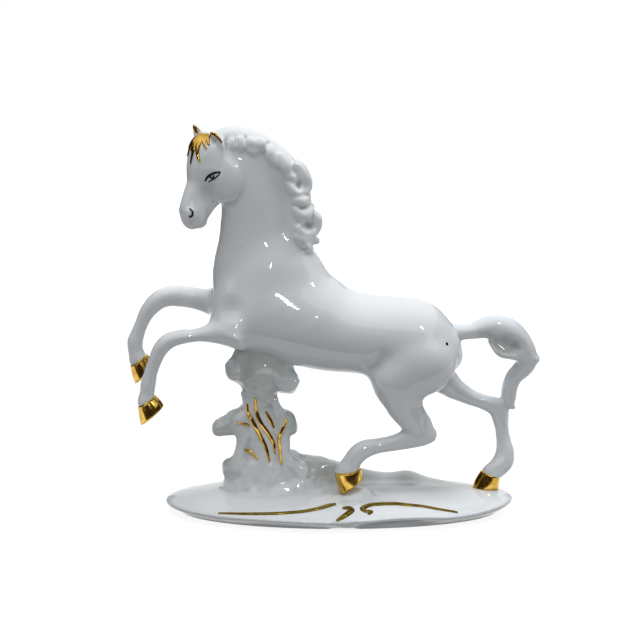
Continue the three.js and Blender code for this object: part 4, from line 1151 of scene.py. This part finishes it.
# %% Floor
FLOOR_HALF = 1.1
PAPER_GLOW = 0.88


def looked_at(tree):
    path = add_node(tree, "LightPath").outputs
    seen = path["Is Camera Ray"]
    for ray in ("Is Glossy Ray", "Is Transmission Ray"):
        seen = add_node(tree, "Math", {0: seen, 1: path[ray]}, operation="MAXIMUM").outputs["Value"]
    return seen


floor_mesh = bpy.data.meshes.new("floor")
sheet = bmesh.new()
bmesh.ops.create_grid(sheet, x_segments=1, y_segments=1, size=FLOOR_HALF)
sheet.to_mesh(floor_mesh)
sheet.free()
floor = bpy.data.objects.new("floor", floor_mesh)
bpy.context.scene.collection.objects.link(floor)
paper, tree, shader, where = new_material("white_paper")
fibre = add_node(tree, "TexNoise", {"Vector": where}, {"Scale": per_mm(3), "Detail": 3.0}).outputs["Fac"]
tone = add_node(
    tree, "Mix", {"Factor": fibre},
    {COLOUR_A: linear("#8A8A8A"), COLOUR_B: linear("#909090")}, data_type="RGBA",
).outputs[COLOUR_OUT]
veil = add_node(tree, "Math", {0: looked_at(tree)}, {1: PAPER_GLOW}, operation="MULTIPLY").outputs["Value"]
tree.links.new(tone, shader.inputs["Base Color"])
tree.links.new(veil, shader.inputs["Emission Strength"])
shader.inputs["Roughness"].default_value = 0.9
shader.inputs["Emission Color"].default_value = linear("#FFFFFF")
floor_mesh.materials.append(paper)
print("floor:", paper.name)

# %% Background
FILL_LIGHT = 0.22
world = bpy.data.worlds.new("studio")
bpy.context.scene.world = world
world.use_nodes = True
tree = world.node_tree
background = tree.nodes["Background"]
strength = add_node(
    tree, "MapRange", {"Value": looked_at(tree)}, {"To Min": FILL_LIGHT, "To Max": 1.0}
).outputs["Result"]
background.inputs["Color"].default_value = linear("#FFFFFF")
tree.links.new(strength, background.inputs["Strength"])
print("background: white, with a fill light of", FILL_LIGHT)

# %% [markdown]
# Two softboxes light the figurine from above and from its tail's side. Reflections don't show them, as
# the photograph has no broad highlight. Two small lamps near the camera make the streaks on the
# shoulder and the croup.

# %% Lamps
LAMP_AIM = (0, 0, 0.1)


def softbox(name, spot, size, power):
    lamp = bpy.data.lights.new(name, "AREA")
    lamp.shape = "RECTANGLE"
    lamp.size = size[0]
    lamp.size_y = size[1]
    lamp.energy = power
    holder = bpy.data.objects.new(name, lamp)
    bpy.context.scene.collection.objects.link(holder)
    holder.location = spot
    holder.rotation_euler = (Vector(LAMP_AIM) - Vector(spot)).to_track_quat("-Z", "Y").to_euler()
    return holder


overhead = softbox("overhead", spot=(-0.3, -0.25, 1.7), size=(1.2, 0.8), power=14)
tail_side = softbox("side_softbox", spot=(1.15, 0.3, 1.75), size=(0.5, 0.5), power=14)
softbox("shoulder_lamp", spot=(-0.045, -0.82, 0.395), size=(0.03, 0.1), power=0.45)
softbox("croup_lamp", spot=(0.56, -0.72, 0.75), size=(0.07, 0.14), power=0.8)
for lamp in (overhead, tail_side):
    lamp.visible_glossy = False
print("lamps:", len(bpy.data.lights))

# %% [markdown]
# The camera looks from the photograph's angle, a little down on the base. Its lens is worked out from a
# focal length in pixels of the photograph, so that the figurine fills the same part of the frame.

# %% Camera
TARGET = Vector(((BASE_MIDDLE - 9.4) / 1000, 0.0, 0.097))
ELEVATION = math.radians(13)
DISTANCE = 0.75
SENSOR = 36.0
FOCAL_PIXELS = 1554
PICTURE_PIXELS = 640
lens = bpy.data.cameras.new("camera")
lens.sensor_width = SENSOR
lens.lens = SENSOR * FOCAL_PIXELS / PICTURE_PIXELS
lens.clip_start = 0.01
camera = bpy.data.objects.new("camera", lens)
bpy.context.scene.collection.objects.link(camera)
camera.location = TARGET + DISTANCE * Vector((0, -math.cos(ELEVATION), math.sin(ELEVATION)))
camera.rotation_euler = (TARGET - camera.location).to_track_quat("-Z", "Y").to_euler()
bpy.context.scene.camera = camera
bpy.context.scene.view_settings.view_transform = "Standard"
print("camera lens:", round(lens.lens, 1), "mm")

# %% [markdown]
# In a white room, glossy porcelain would reflect white everywhere and lose its form. Photographers hang
# dark cards around it. One stands behind the camera, one lies in front of the base and two flag the
# ends. Only reflections see them, so they keep the near side a calm grey and add no shade.

# %% Dark cards
CARD_SPOT = (0, -1.0, 0.5)
CARD_TILT = -45
CARD_SHAPE = (2, 1, 1, 1)
LAID_SPOT = (0, -0.6, 0.002)
FLAG_SPOT = (0.69, -0.2, 0.25)
FLAG_TURN = 10.5
FLAG_SHAPE = (2.8, 0.5, 1, 1)
card_mesh = bpy.data.meshes.new("dark_card")
sheet = bmesh.new()
stand = Matrix.Translation(CARD_SPOT) @ Matrix.Rotation(math.radians(CARD_TILT), 4, "X")
stand = stand @ Matrix.Diagonal(CARD_SHAPE)
bmesh.ops.create_grid(sheet, x_segments=1, y_segments=1, size=0.7, matrix=stand)
laid = Matrix.Translation(LAID_SPOT)
bmesh.ops.create_grid(sheet, x_segments=1, y_segments=1, size=0.5, matrix=laid)
for side in (-1, 1):
    stand = Matrix.Translation((side * FLAG_SPOT[0], FLAG_SPOT[1], FLAG_SPOT[2]))
    stand = stand @ Matrix.Rotation(math.radians(90 + side * FLAG_TURN), 4, "Z")
    stand = stand @ Matrix.Rotation(math.radians(90), 4, "X") @ Matrix.Diagonal(FLAG_SHAPE)
    bmesh.ops.create_grid(sheet, x_segments=1, y_segments=1, size=0.5, matrix=stand)
sheet.to_mesh(card_mesh)
sheet.free()
card = bpy.data.objects.new("dark_card", card_mesh)
bpy.context.scene.collection.objects.link(card)
felt, tree, shader, where = new_material("dark_felt_card")
shader.inputs["Base Color"].default_value = linear("#33261C")
shader.inputs["Roughness"].default_value = 0.95
card_mesh.materials.append(felt)
card.visible_camera = False
card.visible_diffuse = False
card.visible_shadow = False
print("cards:", len(card_mesh.polygons))
